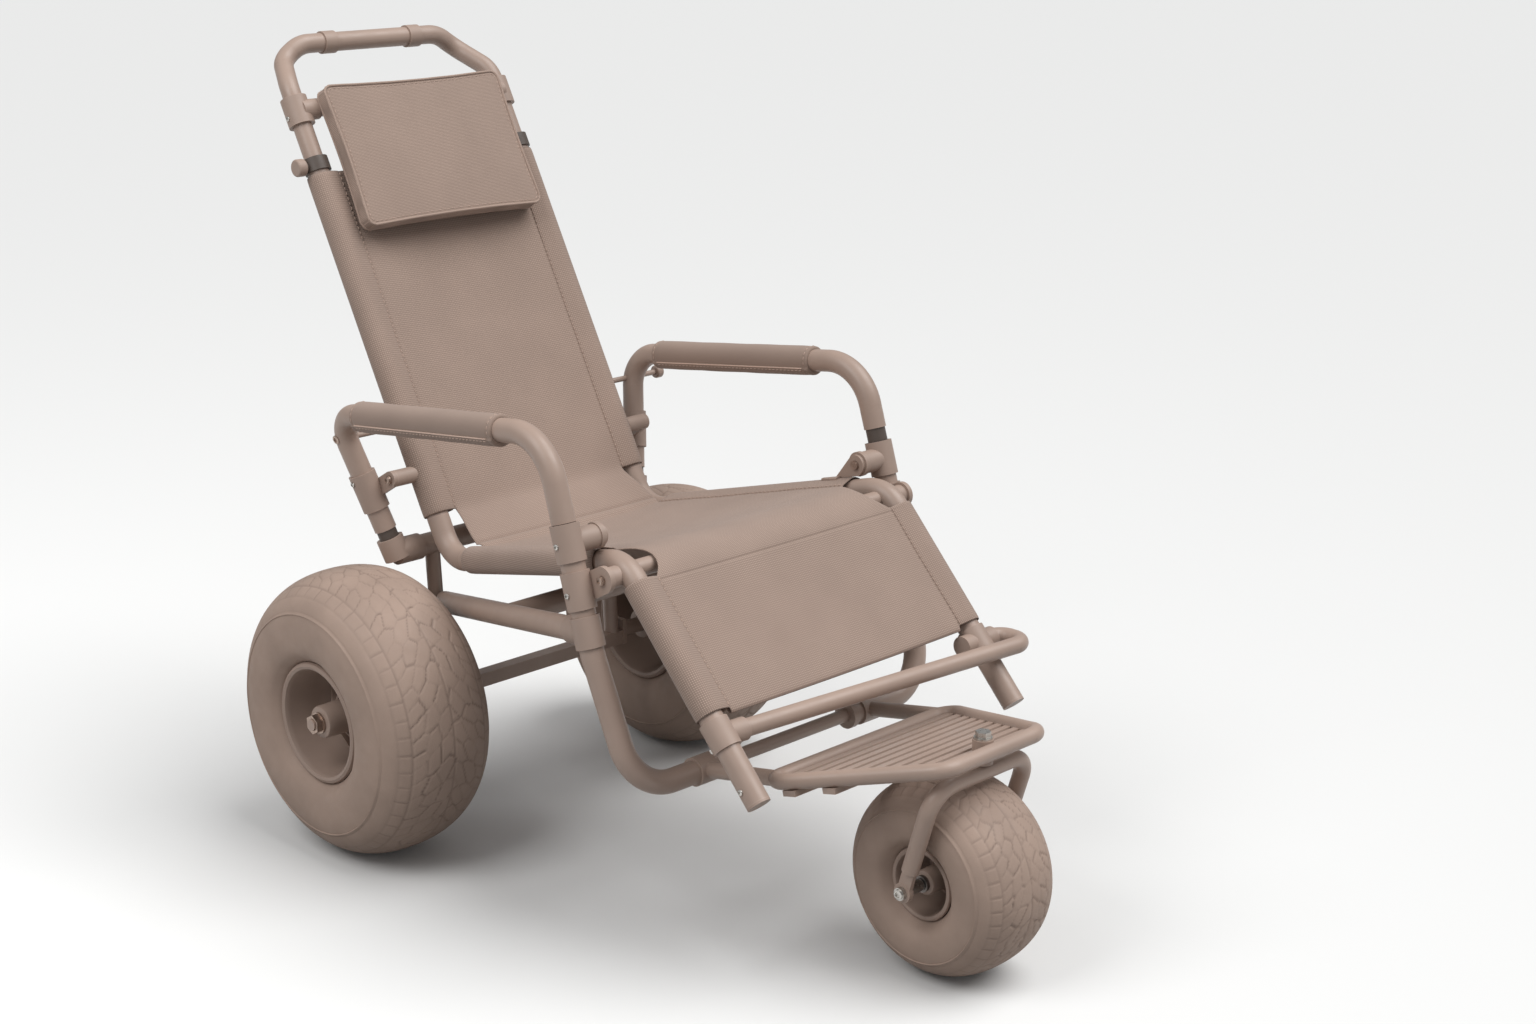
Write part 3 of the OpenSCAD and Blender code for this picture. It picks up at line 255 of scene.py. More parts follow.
def balloon_section(width, dia, rim_dia, rim_width, line_radius, tread_half):
    """The tyre's section from bead to bead and back inside the carcass, and the radius of its crown."""
    power = 2.3
    foot = (1 - (rim_width / width) ** power) ** (1 / power)
    half = (dia - rim_dia) / 2 / (1 + foot)
    middle = dia / 2 - half

    def flank(radius):
        share = min(1, abs(radius - middle) / half)
        return width / 2 * (1 - share ** power) ** (1 / power)

    def crown_radius(across):
        share = min(1, abs(across) / (width / 2))
        return middle + half * (1 - share ** power) ** (1 / power)

    low = rim_dia / 2 + 0.2
    side = []
    for i in range(13):
        radius = mix(low, line_radius - 5, i / 12)
        sunk = 8 * exp(-((radius - low) / 9) ** 2)
        side.append((flank(radius) - sunk, radius))
    for off, lift in ((-2.4, 0), (-1.2, 1.7), (0.8, 1.7), (1.8, -0.6), (4, 0)):
        side.append((flank(line_radius + off) + lift, line_radius + off))
    edge_radius = crown_radius(tread_half)
    for i in range(1, 6):
        radius = mix(line_radius + 4, edge_radius, i / 6)
        side.append((flank(radius), radius))
    columns = int(tread_half / TREAD_PITCH)
    for i in range(columns):
        across = tread_half * (1 - i / columns)
        side.append((across, crown_radius(across)))
    outer = side + [(0, dia / 2)] + [(-x, r) for x, r in reversed(side)]
    wall = 6.0
    inner = []
    for i in range(17):
        turn = radians(-128 + 256 * i / 16)
        across = (width / 2 - wall) * sin(turn) * 0.985
        inner.append((across, middle + (half - wall) * cos(turn)))
    return outer + inner, crown_radius


def block_middles(around, rows, seed):
    """Middles of the uneven tread blocks: how far round the tyre and how far across it."""
    chance = Random(seed)
    middles = []
    for across, spacing, loose in rows:
        count = round(around / spacing)
        for side in (-1, 1):
            start = chance.random() * spacing
            for i in range(count):
                along = start + around * i / count + chance.uniform(-loose, loose)
                out = side * (across + chance.uniform(-loose, loose) * 0.6)
                middles += [(along - around, out, 0), (along, out, 0), (along + around, out, 0)]
    tree = KDTree(len(middles))
    for i, place in enumerate(middles):
        tree.insert(place, i)
    tree.balance()
    strengths = [chance.choice((0.25, 0.45, 0.6, 0.8, 1)) for i in range(997)]
    return tree, strengths


def cut_tread(tyre, centre, crown_radius, dia, rows, shoulder, blocks, depth, seed):
    """Presses grooves into the tread, round uneven blocks in the middle and even ones on the shoulders."""
    around = pi * dia
    middles, strengths = block_middles(around, rows, seed)
    inner, outer = shoulder
    # The groove attribute is a painted-shade mask: 0 on the block tops and high in the grooves, where shade
    # falls.
    groove_shade = tyre.data.attributes.new("groove", "FLOAT", "POINT")
    for vertex in tyre.data.vertices:
        place = vertex.co - centre
        across = place.x / MM
        away = abs(across)
        radius = place.yz.length / MM
        if away > outer + 5 or radius < crown_radius(across) - 2:
            continue
        along = (atan2(place.z, place.y) + pi) / (2 * pi) * around
        if away > inner:
            count = along / around * blocks
            gap = abs(count - round(count)) * around / blocks
            near = min(away - inner, gap + 3 * fade(outer - 2, outer + 4, away), abs(away - outer) + 0.9)
            strength = 0.6
        else:
            nearest, second = middles.find_n((along - TREAD_LEAN * away, across, 0), 2)
            apart = (second[0] - nearest[0]).length
            near = (second[2] ** 2 - nearest[2] ** 2) / (2 * apart)
            strength = strengths[(nearest[1] // 3 + second[1] // 3) * 31 % len(strengths)]
            round_line = min(inner - away, away + 0.4)
            if round_line < near:
                near = round_line
                strength = 0.6
        open_by = strength * (1 - fade(0.5, 1.7, near))
        groove_shade.data[vertex.index].value = open_by
        sink = depth * open_by / radius
        vertex.co = centre + Vector((place.x, place.y * (1 - sink), place.z * (1 - sink)))


def pick(piece):
    """Makes one piece the selected and active one."""
    bpy.ops.object.select_all(action="DESELECT")
    piece.select_set(True)
    bpy.context.view_layer.objects.active = piece


def round_shading(piece, angle):
    pick(piece)
    bpy.ops.object.shade_smooth_by_angle(angle=radians(angle))


def rubber(name, colour):
    finish, tree, shader = new_finish(name)
    mottle = spots(tree, 14, 4, scaled(colour, 0.93), scaled(colour, 1.05))
    groove = tree.nodes.new("ShaderNodeAttribute")
    groove.attribute_name = "groove"
    # Painted shade: the grooves are darkened to 0.66 of the rubber's colour.
    tint_by(tree, groove, "Fac", mottle, scaled(colour, 0.66), shader)
    dull = spots(tree, 60, 2, (0.6, 0.6, 0.6), (0.72, 0.72, 0.72))
    wire(tree, dull, "Color", shader, "Roughness")
    shader.inputs["Specular IOR Level"].default_value = 0.35
    skin = spots(tree, 420, 3, (0, 0, 0), (1, 1, 1))
    raise_by(tree, skin, "Color", shader, 0.2, 0.0004)
    return finish


tyre_rubber = rubber("taupe_rubber", (0.38, 0.278, 0.224))
REAR_W = 231
REAR_D = 490
REAR_RIM_W = 203
REAR_RIM_D = 209
HALF_TRACK = 357.5
rear_middle = {"right": at(-HALF_TRACK, 0, REAR_D / 2), "left": at(HALF_TRACK, 0, REAR_D / 2)}
REAR_ROWS = [(62, 27, 5), (38, 37, 9), (13, 42, 9)]

for side, middle in rear_middle.items():
    section, crown = balloon_section(REAR_W, REAR_D, REAR_RIM_D, REAR_RIM_W, line_radius=190, tread_half=97)
    tyre = spin_up("rear_balloon_tyre_" + side, section, middle, 560)
    seed = 5 if side == "right" else 6
    cut_tread(tyre, middle, crown, REAR_D, REAR_ROWS, (73, 92), blocks=48, depth=2.0, seed=seed)
    round_shading(tyre, 60)
    tyre.data.materials.append(tyre_rubber)
    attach(tyre, "rear_wheel_" + side)
    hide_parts("rear_tyre_" + side)

moulded_rim = powder_coat("moulded_rim", scaled(TAUPE, 0.9), 0.5)


def dish_section(dia, width, roll, hub_dia, bore, hub_half, web):
    """Half of a rim's section, from the rolled lip down the dish and out along the hub, then mirrored."""
    lip = dia / 2
    edge = width / 2
    hub = hub_dia / 2
    cap = 15 / 42 * bore
    side = [
        (edge - 1.9 * roll, lip - 0.8 * roll), (edge - 1.7 * roll, lip - 0.28 * roll), (edge - roll, lip),
        (edge - 0.32 * roll, lip - 0.3 * roll), (edge, lip - roll), (edge - 0.32 * roll, lip - 1.7 * roll),
        (edge - roll, lip - 2 * roll), (edge - 1.8 * roll, lip - 2.1 * roll), (edge * 0.45, lip - 2.8 * roll),
        (edge * 0.2 + web, lip - 3.4 * roll), (web + 2, lip - 4.8 * roll), (web, lip - 6.2 * roll),
        (web, hub + 8), (web + 3, hub + 4), (web + 10, hub + 1.5), (hub_half - 16, hub), (hub_half - 5, hub),
        (hub_half - 1.5, hub - 1.5), (hub_half, hub - 5), (hub_half, cap), (hub_half - 1.7, cap),
        (hub_half - 1.7, bore / 2),
    ]
    inside = (edge - 12, lip - 6)
    return side + [(-x, r) for x, r in reversed(side)] + [(-inside[0], inside[1]), inside]


def rib_ring(centre, count, low, high, web, out_low, out_high, thick):
    """Radial ribs on both faces of the web, modelled once from a cube and turned round the axle."""
    ribs = []
    for i in range(count):
        for face in (-1, 1):
            bpy.ops.mesh.primitive_cube_add(size=1, location=(0, 0, 0))
            rib = bpy.context.object
            turn = Matrix.Rotation(2 * pi * (i + 0.5) / count, 3, "X")
            for vertex in rib.data.vertices:
                outer = vertex.co.z > 0
                reach = (out_high if outer else out_low) if vertex.co.x > 0 else 0
                place = Vector((
                    face * (web - 1 + reach) * MM,
                    (thick if vertex.co.y > 0 else -thick) / 2 * MM,
                    (high if outer else low) * MM,
                ))
                vertex.co = centre + turn @ place
            bpy.ops.object.mode_set(mode="EDIT")
            bpy.ops.mesh.select_all(action="SELECT")
            bpy.ops.mesh.normals_make_consistent(inside=False)
            bpy.ops.mesh.bevel(offset=0.0012, segments=2, affect="EDGES")
            bpy.ops.object.mode_set(mode="OBJECT")
            ribs.append(rib)
    return ribs


def join(piece, others):
    pick(piece)
    for other in others:
        other.select_set(True)
    bpy.ops.object.join()


rear_dish = dish_section(REAR_RIM_D, REAR_RIM_W, roll=6.5, hub_dia=56, bore=42, hub_half=93.5, web=8)
for side, middle in rear_middle.items():
    rim = spin_up("rear_dish_rim_" + side, rear_dish, middle, 96)
    join(rim, rib_ring(middle, 8, low=26, high=80, web=8, out_low=46, out_high=10, thick=5))
    round_shading(rim, 35)
    rim.data.materials.append(moulded_rim)
    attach(rim, "rear_wheel_" + side)
    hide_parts("rear_rim_" + side)


def steel(name, colour, rough):
    finish, tree, shader = new_finish(name)
    shader.inputs["Metallic"].default_value = 1
    tint = spots(tree, 120, 3, scaled(colour, 0.86), scaled(colour, 1.05))
    wire(tree, tint, "Color", shader, "Base Color")
    dull = spots(tree, 300, 2, (rough - 0.08,) * 3, (rough + 0.1,) * 3)
    wire(tree, dull, "Color", shader, "Roughness")
    return finish


bright_steel = steel("zinc_plated_steel", (0.55, 0.53, 0.5), 0.34)
dark_steel = steel("oiled_bearing_steel", (0.2, 0.18, 0.17), 0.45)
painted_steel = steel("painted_nut_steel", (0.4, 0.31, 0.26), 0.42)
dress(painted_steel, "axle_nuts")
dress(dark_steel, "rear_bearings_right", "rear_bearings_left")

# Footplate and caster head
# A bent tube loop with ribs across it on two flat straps, carried by two clamped arms from the uprights.
# The caster's head tube is welded into its front edge.
dress(frame_paint, "footplate_frame", "footplate_grid", "footplate_arms", "caster_head")

# Front wheel and fork
# A smaller balloon wheel in a fork bent from one tube, with flattened ends on a through axle.
dress(frame_paint, "caster_fork")
dress(bright_steel, "front_axle", "stem_nut")
dress(dark_steel, "front_bearings")


def select_none(mesh):
    for part in (mesh.vertices, mesh.edges, mesh.polygons):
        part.foreach_set("select", [False] * len(part))


def screw_head(radius, height):
    """A domed head with a driving recess, standing on the origin along Z."""
    bpy.ops.mesh.primitive_cylinder_add(vertices=24, radius=radius * MM, depth=height * MM)
    head = bpy.context.object
    for vertex in head.data.vertices:
        vertex.co.z += height * MM / 2
    select_none(head.data)
    for face in head.data.polygons:
        face.select = face.normal.z > 0.9
    bpy.context.tool_settings.mesh_select_mode = (False, False, True)
    bpy.ops.object.mode_set(mode="EDIT")
    bpy.ops.mesh.inset(thickness=0.16 * radius * MM, depth=0.22 * height * MM)
    bpy.ops.mesh.inset(thickness=0.2 * radius * MM, depth=0.12 * height * MM)
    bpy.ops.mesh.inset(thickness=0.1 * radius * MM, depth=0)
    bpy.ops.mesh.extrude_region_move(TRANSFORM_OT_translate={"value": (0, 0, -0.9 * height * MM)})
    bpy.ops.mesh.select_all(action="DESELECT")
    bpy.ops.object.mode_set(mode="OBJECT")
    return head


def set_in_place(model, places, name, finish):
    """Copies one model to each (place, way out), on both sides of the chair, and joins the copies."""
    copies = []
    for place, out in places:
        for side in (1, -1):
            mesh = model.data.copy()
            facing = Vector((out.x * side, out.y, out.z)).to_track_quat("Z", "Y")
            spot = at(place.x * side, place.y, place.z)
            for vertex in mesh.vertices:
                vertex.co = spot + facing @ vertex.co
            copy = bpy.data.objects.new(name, mesh)
            bpy.context.collection.objects.link(copy)
            copies.append(copy)
    bpy.data.objects.remove(model)
    join(copies[0], copies[1:])
    rename(copies[0], name)
    copies[0].data.materials.clear()
    copies[0].data.materials.append(finish)
    round_shading(copies[0], 40)
    return copies[0]


sideways = Vector((1, 0, 0))
WHEELBASE = 999
axle_end = Vector((119.3, -WHEELBASE, 157.5))
axle_ends = set_in_place(screw_head(8, 2.6), [(axle_end, sideways)], "axle_end_screws", bright_steel)
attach(axle_ends, "caster")
FRONT_D = 315
FRONT_RIM_W = 144
FRONT_RIM_D = 116
front_middle = at(0, -WHEELBASE, FRONT_D / 2)
FRONT_ROWS = [(47, 22, 4), (29, 28, 7), (10, 32, 7)]
section, crown = balloon_section(179, FRONT_D, FRONT_RIM_D, FRONT_RIM_W, line_radius=121, tread_half=76)
tyre = spin_up("front_balloon_tyre", section, front_middle, 400)
cut_tread(tyre, front_middle, crown, FRONT_D, FRONT_ROWS, (56, 71), blocks=40, depth=1.7, seed=8)
round_shading(tyre, 60)
tyre.data.materials.append(tyre_rubber)
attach(tyre, "front_wheel")
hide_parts("front_tyre")
front_dish = dish_section(FRONT_RIM_D, FRONT_RIM_W, roll=4.4, hub_dia=40, bore=32, hub_half=64, web=6)
rim = spin_up("front_dish_rim", front_dish, front_middle, 72)
join(rim, rib_ring(front_middle, 6, low=20, high=36, web=6, out_low=30, out_high=8, thick=4))
round_shading(rim, 35)
rim.data.materials.append(moulded_rim)
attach(rim, "front_wheel")
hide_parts("front_rim")

# Arms
# Two bent tubes on inner spigots, tied to the back by pinned tees, with a threaded stay bar across the back.
dark_plastic = powder_coat("dark_brown_plastic", (0.085, 0.064, 0.052), 0.48)
dress(frame_paint, "arm_tube_right", "arm_tube_left", "stay_bar", "stay_knob")
dress(cast_paint, "arm_rear_tees")
dress(dark_plastic, "arm_spigots")
stay_end = Vector((339.7, 70.5, 698.6))
arm_out = Vector((0.972, -0.063, -0.226))
stay_nuts = set_in_place(screw_head(7.5, 2.4), [(stay_end, arm_out)], "stay_bar_nuts", painted_steel)
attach(stay_nuts, "frame")

# Arm pads
# Foam tubes in a woven cover, closed underneath by a flap with two sewn edges and a hem at each end.
PAD_AXIS = Vector((-0.028198, 0.991938, -0.123552))
PAD_START = Vector((347, -480.8, 809.4)) + PAD_AXIS * 106
PAD_LONG = 386
PAD_HEM = 12
PAD_R = 24.5


def woven(name, colour, pitch, lean=None):
    """A plain weave with slow changes of shade and a dry sheen, on the piece's map or on its own place."""
    finish, tree, shader = new_finish(name)
    place = tree.nodes.new("ShaderNodeTexCoord")
    turned = tree.nodes.new("ShaderNodeMapping")
    turned.inputs["Rotation"].default_value = (0 if lean is None else radians(-lean), 0, 0)
    wire(tree, place, "UV" if lean is None else "Object", turned, "Vector")
    mottle = spots(tree, 11, 4, scaled(colour, 0.97), scaled(colour, 1.03))
    threads = []
    for way in ("X", "Y"):
        band = tree.nodes.new("ShaderNodeTexWave")
        band.bands_direction = way
        band.wave_profile = "SIN"
        feed(band, {"Scale": 0.314 / (pitch * MM), "Distortion": 0.4})
        wire(tree, turned, "Vector", band, "Vector")
        threads.append(band)
    weave = tree.nodes.new("ShaderNodeMath")
    weave.operation = "MULTIPLY"
    wire(tree, threads[0], "Fac", weave, 0)
    wire(tree, threads[1], "Fac", weave, 1)
    shade = tree.nodes.new("ShaderNodeMix")
    shade.data_type = "RGBA"
    shade.blend_type = "MULTIPLY"
    shade.inputs["Factor"].default_value = 0.4
    wire(tree, mottle, "Color", shade, "A")
    wire(tree, weave, "Value", shade, "B")
    wire(tree, shade, "Result", shader, "Base Color")
    raise_by(tree, weave, "Value", shader, 0.5, 0.0009)
    feed(shader, {"Roughness": 0.78, "Specular IOR Level": 0.25})
    feed(shader, {"Sheen Weight": 0.15, "Sheen Roughness": 0.5})
    return finish


def face_outward():
    """Turns all normals of the active piece outward."""
    bpy.ops.object.mode_set(mode="EDIT")
    bpy.ops.mesh.select_all(action="SELECT")
    bpy.ops.mesh.normals_make_consistent(inside=False)
    bpy.ops.object.mode_set(mode="OBJECT")


def new_piece(name, corners, faces):
    """A linked object from corners in metres and faces."""
    mesh = bpy.data.meshes.new(name)
    mesh.from_pydata(corners, [], faces)
    piece = bpy.data.objects.new(name, mesh)
    bpy.context.collection.objects.link(piece)
    return piece


def smooth_all(piece):
    piece.data.polygons.foreach_set("use_smooth", [True] * len(piece.data.polygons))


def spun_thread(name, colour):
    finish, tree, shader = new_finish(name)
    twist = spots(tree, 900, 1, scaled(colour, 0.85), scaled(colour, 1.1))
    wire(tree, twist, "Color", shader, "Base Color")
    shader.inputs["Roughness"].default_value = 0.6
    return finish


def sew(points, ups, stitch=6.0, gap=3.0, wide=1.7, high=1.0):
    """Short raised stitches along a line of points, as corners and faces in millimetres."""
    corners = []
    faces = []
    lengths = [(b - a).length for a, b in zip(points, points[1:])]
    total = sum(lengths)
    count = int(total / (stitch + gap))
    spare = (total - count * (stitch + gap) + gap) / 2

    def walk(distance):
        for i, length in enumerate(lengths):
            if distance <= length or i == len(lengths) - 1:
                t = min(1, distance / max(length, 1e-6))
                return mix(points[i], points[i + 1], t), mix(ups[i], ups[i + 1], t).normalized()
            distance -= length

    for k in range(count):
        begin = spare + k * (stitch + gap)
        first = len(corners)
        ahead = walk(begin + stitch)[0] - walk(begin)[0]
        for share, size in ((0, 0.45), (0.5, 1), (1, 0.45)):
            place, up = walk(begin + stitch * share)
            out = ahead.cross(up).normalized()
            corners.append(place + out * wide / 2 * size - up * 0.3)
            corners.append(place + out * wide / 4 * size + up * high * size)
            corners.append(place - out * wide / 4 * size + up * high * size)
            corners.append(place - out * wide / 2 * size - up * 0.3)
        for ring in (0, 4):
            for i in range(4):
                j = (i + 1) % 4
                faces.append((first + ring + i, first + ring + 4 + i, first + ring + 4 + j, first + ring + j))
        faces.append((first, first + 1, first + 2, first + 3))
        faces.append((first + 11, first + 10, first + 9, first + 8))
    return corners, faces


def stitching(name, lines, finish):
    """One piece from several sewn lines, each given as points and the way up at each point."""
    corners = []
    faces = []
    for points, ups in lines:
        more, joins = sew(points, ups)
        faces.extend(tuple(i + len(corners) for i in join_up) for join_up in joins)
        corners.extend(more)
    thread = new_piece(name, [at(*c) for c in corners], faces)
    pick(thread)
    face_outward()
    thread.data.materials.append(finish)
    return thread


def soft_unevenness(place, height):
    """A slow, shallow unevenness, so that cloth isn't flat."""
    return noise.noise(place * 0.011) * height + noise.noise(place * 0.034) * height * 0.35


def pad_section(length):
    """The cover's outside with a rolled hem at each end, then back along the bore."""
    end = [(0, 20.4), (0.2, 22.6), (1.6, 24.1), (4.5, 24.4), (8, 24.2), (9, 23.5), (10, 24.1), (14, 24.4)]
    body = [(length * i / 14, PAD_R + 0.25 * sin(i * 1.7)) for i in range(1, 14)]
    far = [(length - x, r) for x, r in reversed(end)]
    return end + body + far + [(length, 19.4), (length / 2, 19.4), (0, 19.4)]


def pad_frame(side):
    """The pad's own axes: along the arm, outward, and up."""
    along = Vector((PAD_AXIS.x * side, PAD_AXIS.y, PAD_AXIS.z))
    out = along.cross(Vector((0, 0, 1))).normalized()
    return along, out, out.cross(along).normalized()


def pad_point(side, start, along_by, radius, angle):
    """A place on the pad, with the angle measured from straight down, outward positive."""
    along, out, up = pad_frame(side)
    return start + along * along_by + (out * sin(angle) - up * cos(angle)) * radius


def piping_cord(name, paths, thick, closed, finish):
    """Round cords along paths of points in millimetres, as one piece."""
    cords = []
    for path in paths:
        line = bpy.data.curves.new(name, "CURVE")
        line.dimensions = "3D"
        line.bevel_depth = thick / 2 * MM
        line.bevel_resolution = 2
        line.use_fill_caps = not closed
        strand = line.splines.new("POLY")
        strand.points.add(len(path) - 1)
        for point, place in zip(strand.points, path):
            point.co = (*at(*place), 1)
        strand.use_cyclic_u = closed
        cord = bpy.data.objects.new(name, line)
        bpy.context.collection.objects.link(cord)
        pick(cord)
        bpy.ops.object.convert(target="MESH")
        cords.append(bpy.context.object)
    join(cords[0], cords[1:])
    rename(cords[0], name)
    smooth_all(cords[0])
    cords[0].data.materials.append(finish)
    return cords[0]


pad_cloth = woven("woven_pad_cover", scaled(TAUPE, 1.36), 3)
# The edge cord is coloured far lighter than the cover: a painted highlight along each flap's raised edge.
pad_edge_highlight_finish = spun_thread("painted_highlight_cord", scaled(TAUPE, 1.75))
thread_finish = spun_thread("taupe_thread", scaled(TAUPE, 1.3))
FLAP = radians(64)
for side, word in ((-1, "right"), (1, "left")):
    start = Vector((PAD_START.x * side, PAD_START.y, PAD_START.z))
    pad = spin_up("arm_pad_cover_" + word, pad_section(PAD_LONG), Vector((0, 0, 0)), 72)
    weave_map = pad.data.uv_layers.new(name="weave")
    angles = []
    for vertex in pad.data.vertices:
        along_by = vertex.co.x / MM
        radius = vertex.co.yz.length / MM
        angle = atan2(vertex.co.y, -vertex.co.z)
        angles.append((angle, along_by))
        place = pad_point(side, start, along_by, radius, angle)
        if radius > 22:
            raised = 2 if abs(angle) < FLAP else 0
            radius += raised + soft_unevenness(place, 0.5)
            place = pad_point(side, start, along_by, radius, angle)
        vertex.co = at(*place)
    for face in pad.data.polygons:
        first = angles[pad.data.loops[face.loop_start].vertex_index][0]
        for corner in face.loop_indices:
            angle, along_by = angles[pad.data.loops[corner].vertex_index]
            if angle - first > pi:
                angle -= 2 * pi
            if first - angle > pi:
                angle += 2 * pi
            weave_map.data[corner].uv = (angle * PAD_R * MM, along_by * MM)
    face_outward()
    round_shading(pad, 40)
    pad.data.materials.append(pad_cloth)
    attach(pad, "frame")
    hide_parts("arm_pad_" + word)
    lines = []
    edges = []
    for way in (-1, 1):
        seam = way * (FLAP - radians(9))
        runs = [PAD_HEM + (PAD_LONG - 2 * PAD_HEM) * i / 20 for i in range(21)]
        points = [pad_point(side, start, run, 26.5, seam) for run in runs]
        middle = [pad_point(side, start, run, 0, seam) for run in runs]
        lines.append((points, [(p - m).normalized() for p, m in zip(points, middle)]))
        edges.append([pad_point(side, start, run, 25.6, way * FLAP) for run in runs])
    # Painted highlight: a pale cord laid along each flap's edge.
    highlight_cord = piping_cord("arm_pad_edge_" + word, edges, 2.4, False, pad_edge_highlight_finish)
    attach(highlight_cord, "frame")
    for along_by in (6, PAD_LONG - 6):
        turns = [FLAP + (2 * pi - 2 * FLAP) * i / 40 for i in range(41)]
        points = [pad_point(side, start, along_by, 24.4, a) for a in turns]
        middle = pad_point(side, start, along_by, 0, 0)
        lines.append((points, [(p - middle).normalized() for p in points]))
    thread = stitching("arm_pad_stitching_" + word, lines, thread_finish)
    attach(thread, "frame")

# Chaise tubes
# The back tubes, elbows and one-piece seat and leg tubes, with the knee cross tube and the foot bar.
dress(frame_paint, "back_tube_right", "back_tube_left", "seat_leg_tube_right", "seat_leg_tube_left")
dress(frame_paint, "knee_cross_tube", "foot_bar")
dress(cast_paint, "elbows", "leg_tees", "leg_end_caps")

# Sling
# One length of woven, coated cloth, turned round the tubes and sewn back on itself to make sleeves.
# The corners and knees are cut away, and the back and seat meet in a sewn crease.
BACK_DIR = Vector((0, 0.475624, 0.879649))
BACK_FRONT = Vector((0, -0.879649, 0.475624))
SEAT_DIR = Vector((0.133377, -0.962251, 0.237242))
SEAT_UP = Vector((0, 0.239381, 0.970926))
LEG_DIR = Vector((0, -0.680721, -0.732543))
LEG_FRONT = Vector((0, -0.732543, 0.680721))
CORNER = Vector((218, -73, 494))
KNEE = Vector((290, -592.4, 622.1))
BACK_TOP = 697
BACK_LOW = 80
SEAT_BACK = 66
SEAT_FRONT = 479
LEG_TOP = 40
LEG_LOW = 270
FOLD_EDGE = 198
HALF_COLUMNS = 12
SLEEVE = 22.4
SEAM_IN = 33
SEAM_UP = 13
CLOTH = 2.2


class ClothRow:
    """One row across the sling: the tube's axis on the left, the way up, and what the row carries."""

    def __init__(self, axis, up, sag, sleeved, edge=None, crease=0):
        self.axis = axis
        self.up = up
        self.sag = sag
        self.sleeved = sleeved
        self.crease = crease
        self.edge = axis.x - SEAM_IN if edge is None else edge


def back_rows():
    rows = []
    for i in range(32):
        t = i / 31
        along = mix(BACK_TOP, BACK_LOW, t)
        sag = 5 + 11 * sin(pi * min(1, 0.15 + 0.85 * t))
        rows.append(ClothRow(CORNER + BACK_DIR * along, BACK_FRONT, sag, True))
    return rows


def crease_rows():
    rows = []
    start = CORNER + BACK_DIR * BACK_LOW + BACK_FRONT * SEAM_UP
    end = CORNER + SEAT_DIR * SEAT_BACK + SEAT_UP * SEAM_UP
    fold = Vector((0, -116, 527))
    for t, crease in ((0.17, 0), (0.33, 0), (0.5, 0), (0.67, 0), (0.83, 0), (0.95, -1.2), (1, 2.2)):
        up = mix(BACK_FRONT, Vector((0, -0.35, 0.94)), t).normalized()
        place = mix(start, fold, t) - up * (SEAM_UP - 2.0 * sin(pi * t))
        place.x = CORNER.x
        edge = mix(CORNER.x - SEAM_IN, FOLD_EDGE, sin(pi / 2 * t) ** 1.6)
        rows.append(ClothRow(place, up, mix(6, 1, t), False, edge, crease))
    for t in (0.05, 0.17, 0.33, 0.5, 0.67, 0.83):
        up = mix(Vector((0, -0.1, 1)), SEAT_UP, t).normalized()
        place = mix(fold, end, t) + up * (3.0 * sin(pi * t) - SEAM_UP)
        place.x = 222
        rows.append(ClothRow(place, up, mix(2, 5, t), False, mix(FOLD_EDGE, end.x - SEAM_IN, t)))
    return rows


def seat_rows():
    rows = []
    for i in range(22):
        t = i / 21
        along = mix(SEAT_BACK, SEAT_FRONT, t)
        rows.append(ClothRow(CORNER + SEAT_DIR * along, SEAT_UP, 6 + 15 * sin(pi * t), True))
    return rows


def knee_rows():
    rows = []
    start = CORNER + SEAT_DIR * SEAT_FRONT
    end = KNEE + LEG_DIR * LEG_TOP
    for i in range(1, 9):
        t = i / 9
        place = start * (1 - t) ** 2 + KNEE * 2 * t * (1 - t) + end * t ** 2
        up = mix(SEAT_UP, LEG_FRONT, t).normalized()
        drawn = 25 * sin(pi * t) ** 0.7
        rows.append(ClothRow(place, up, mix(6, 3, t), False, place.x - SEAM_IN + 2 - drawn))
    return rows


def leg_rows():
    """The leg panel starts with a pleat sewn across it, just under the knee."""
    rows = []
    pleat = [(LEG_TOP, 0), (46, -0.5), (47.6, 1.8), (49.2, -0.5), (55, 0)]
    for along, crease in pleat + [(mix(60, LEG_LOW, i / 11), 0) for i in range(12)]:
        sag = 3 + 6 * sin(pi * (along - LEG_TOP) / (LEG_LOW - LEG_TOP) * 0.8)
        rows.append(ClothRow(KNEE + LEG_DIR * along, LEG_FRONT, sag, True, crease=crease))
    return rows


def hem_rows():
    """The lower edge turns under itself in a narrow double hem."""
    rows = []
    start = KNEE + LEG_DIR * LEG_LOW
    for along, down in ((4, 0.5), (6.5, 2.5), (6.5, 5), (4, 7), (-4, 7.4), (-16, 7.2)):
        place = start + LEG_DIR * along - LEG_FRONT * down
        rows.append(ClothRow(place, LEG_FRONT, 3 + 6 * sin(pi * 0.8), False))
    return rows


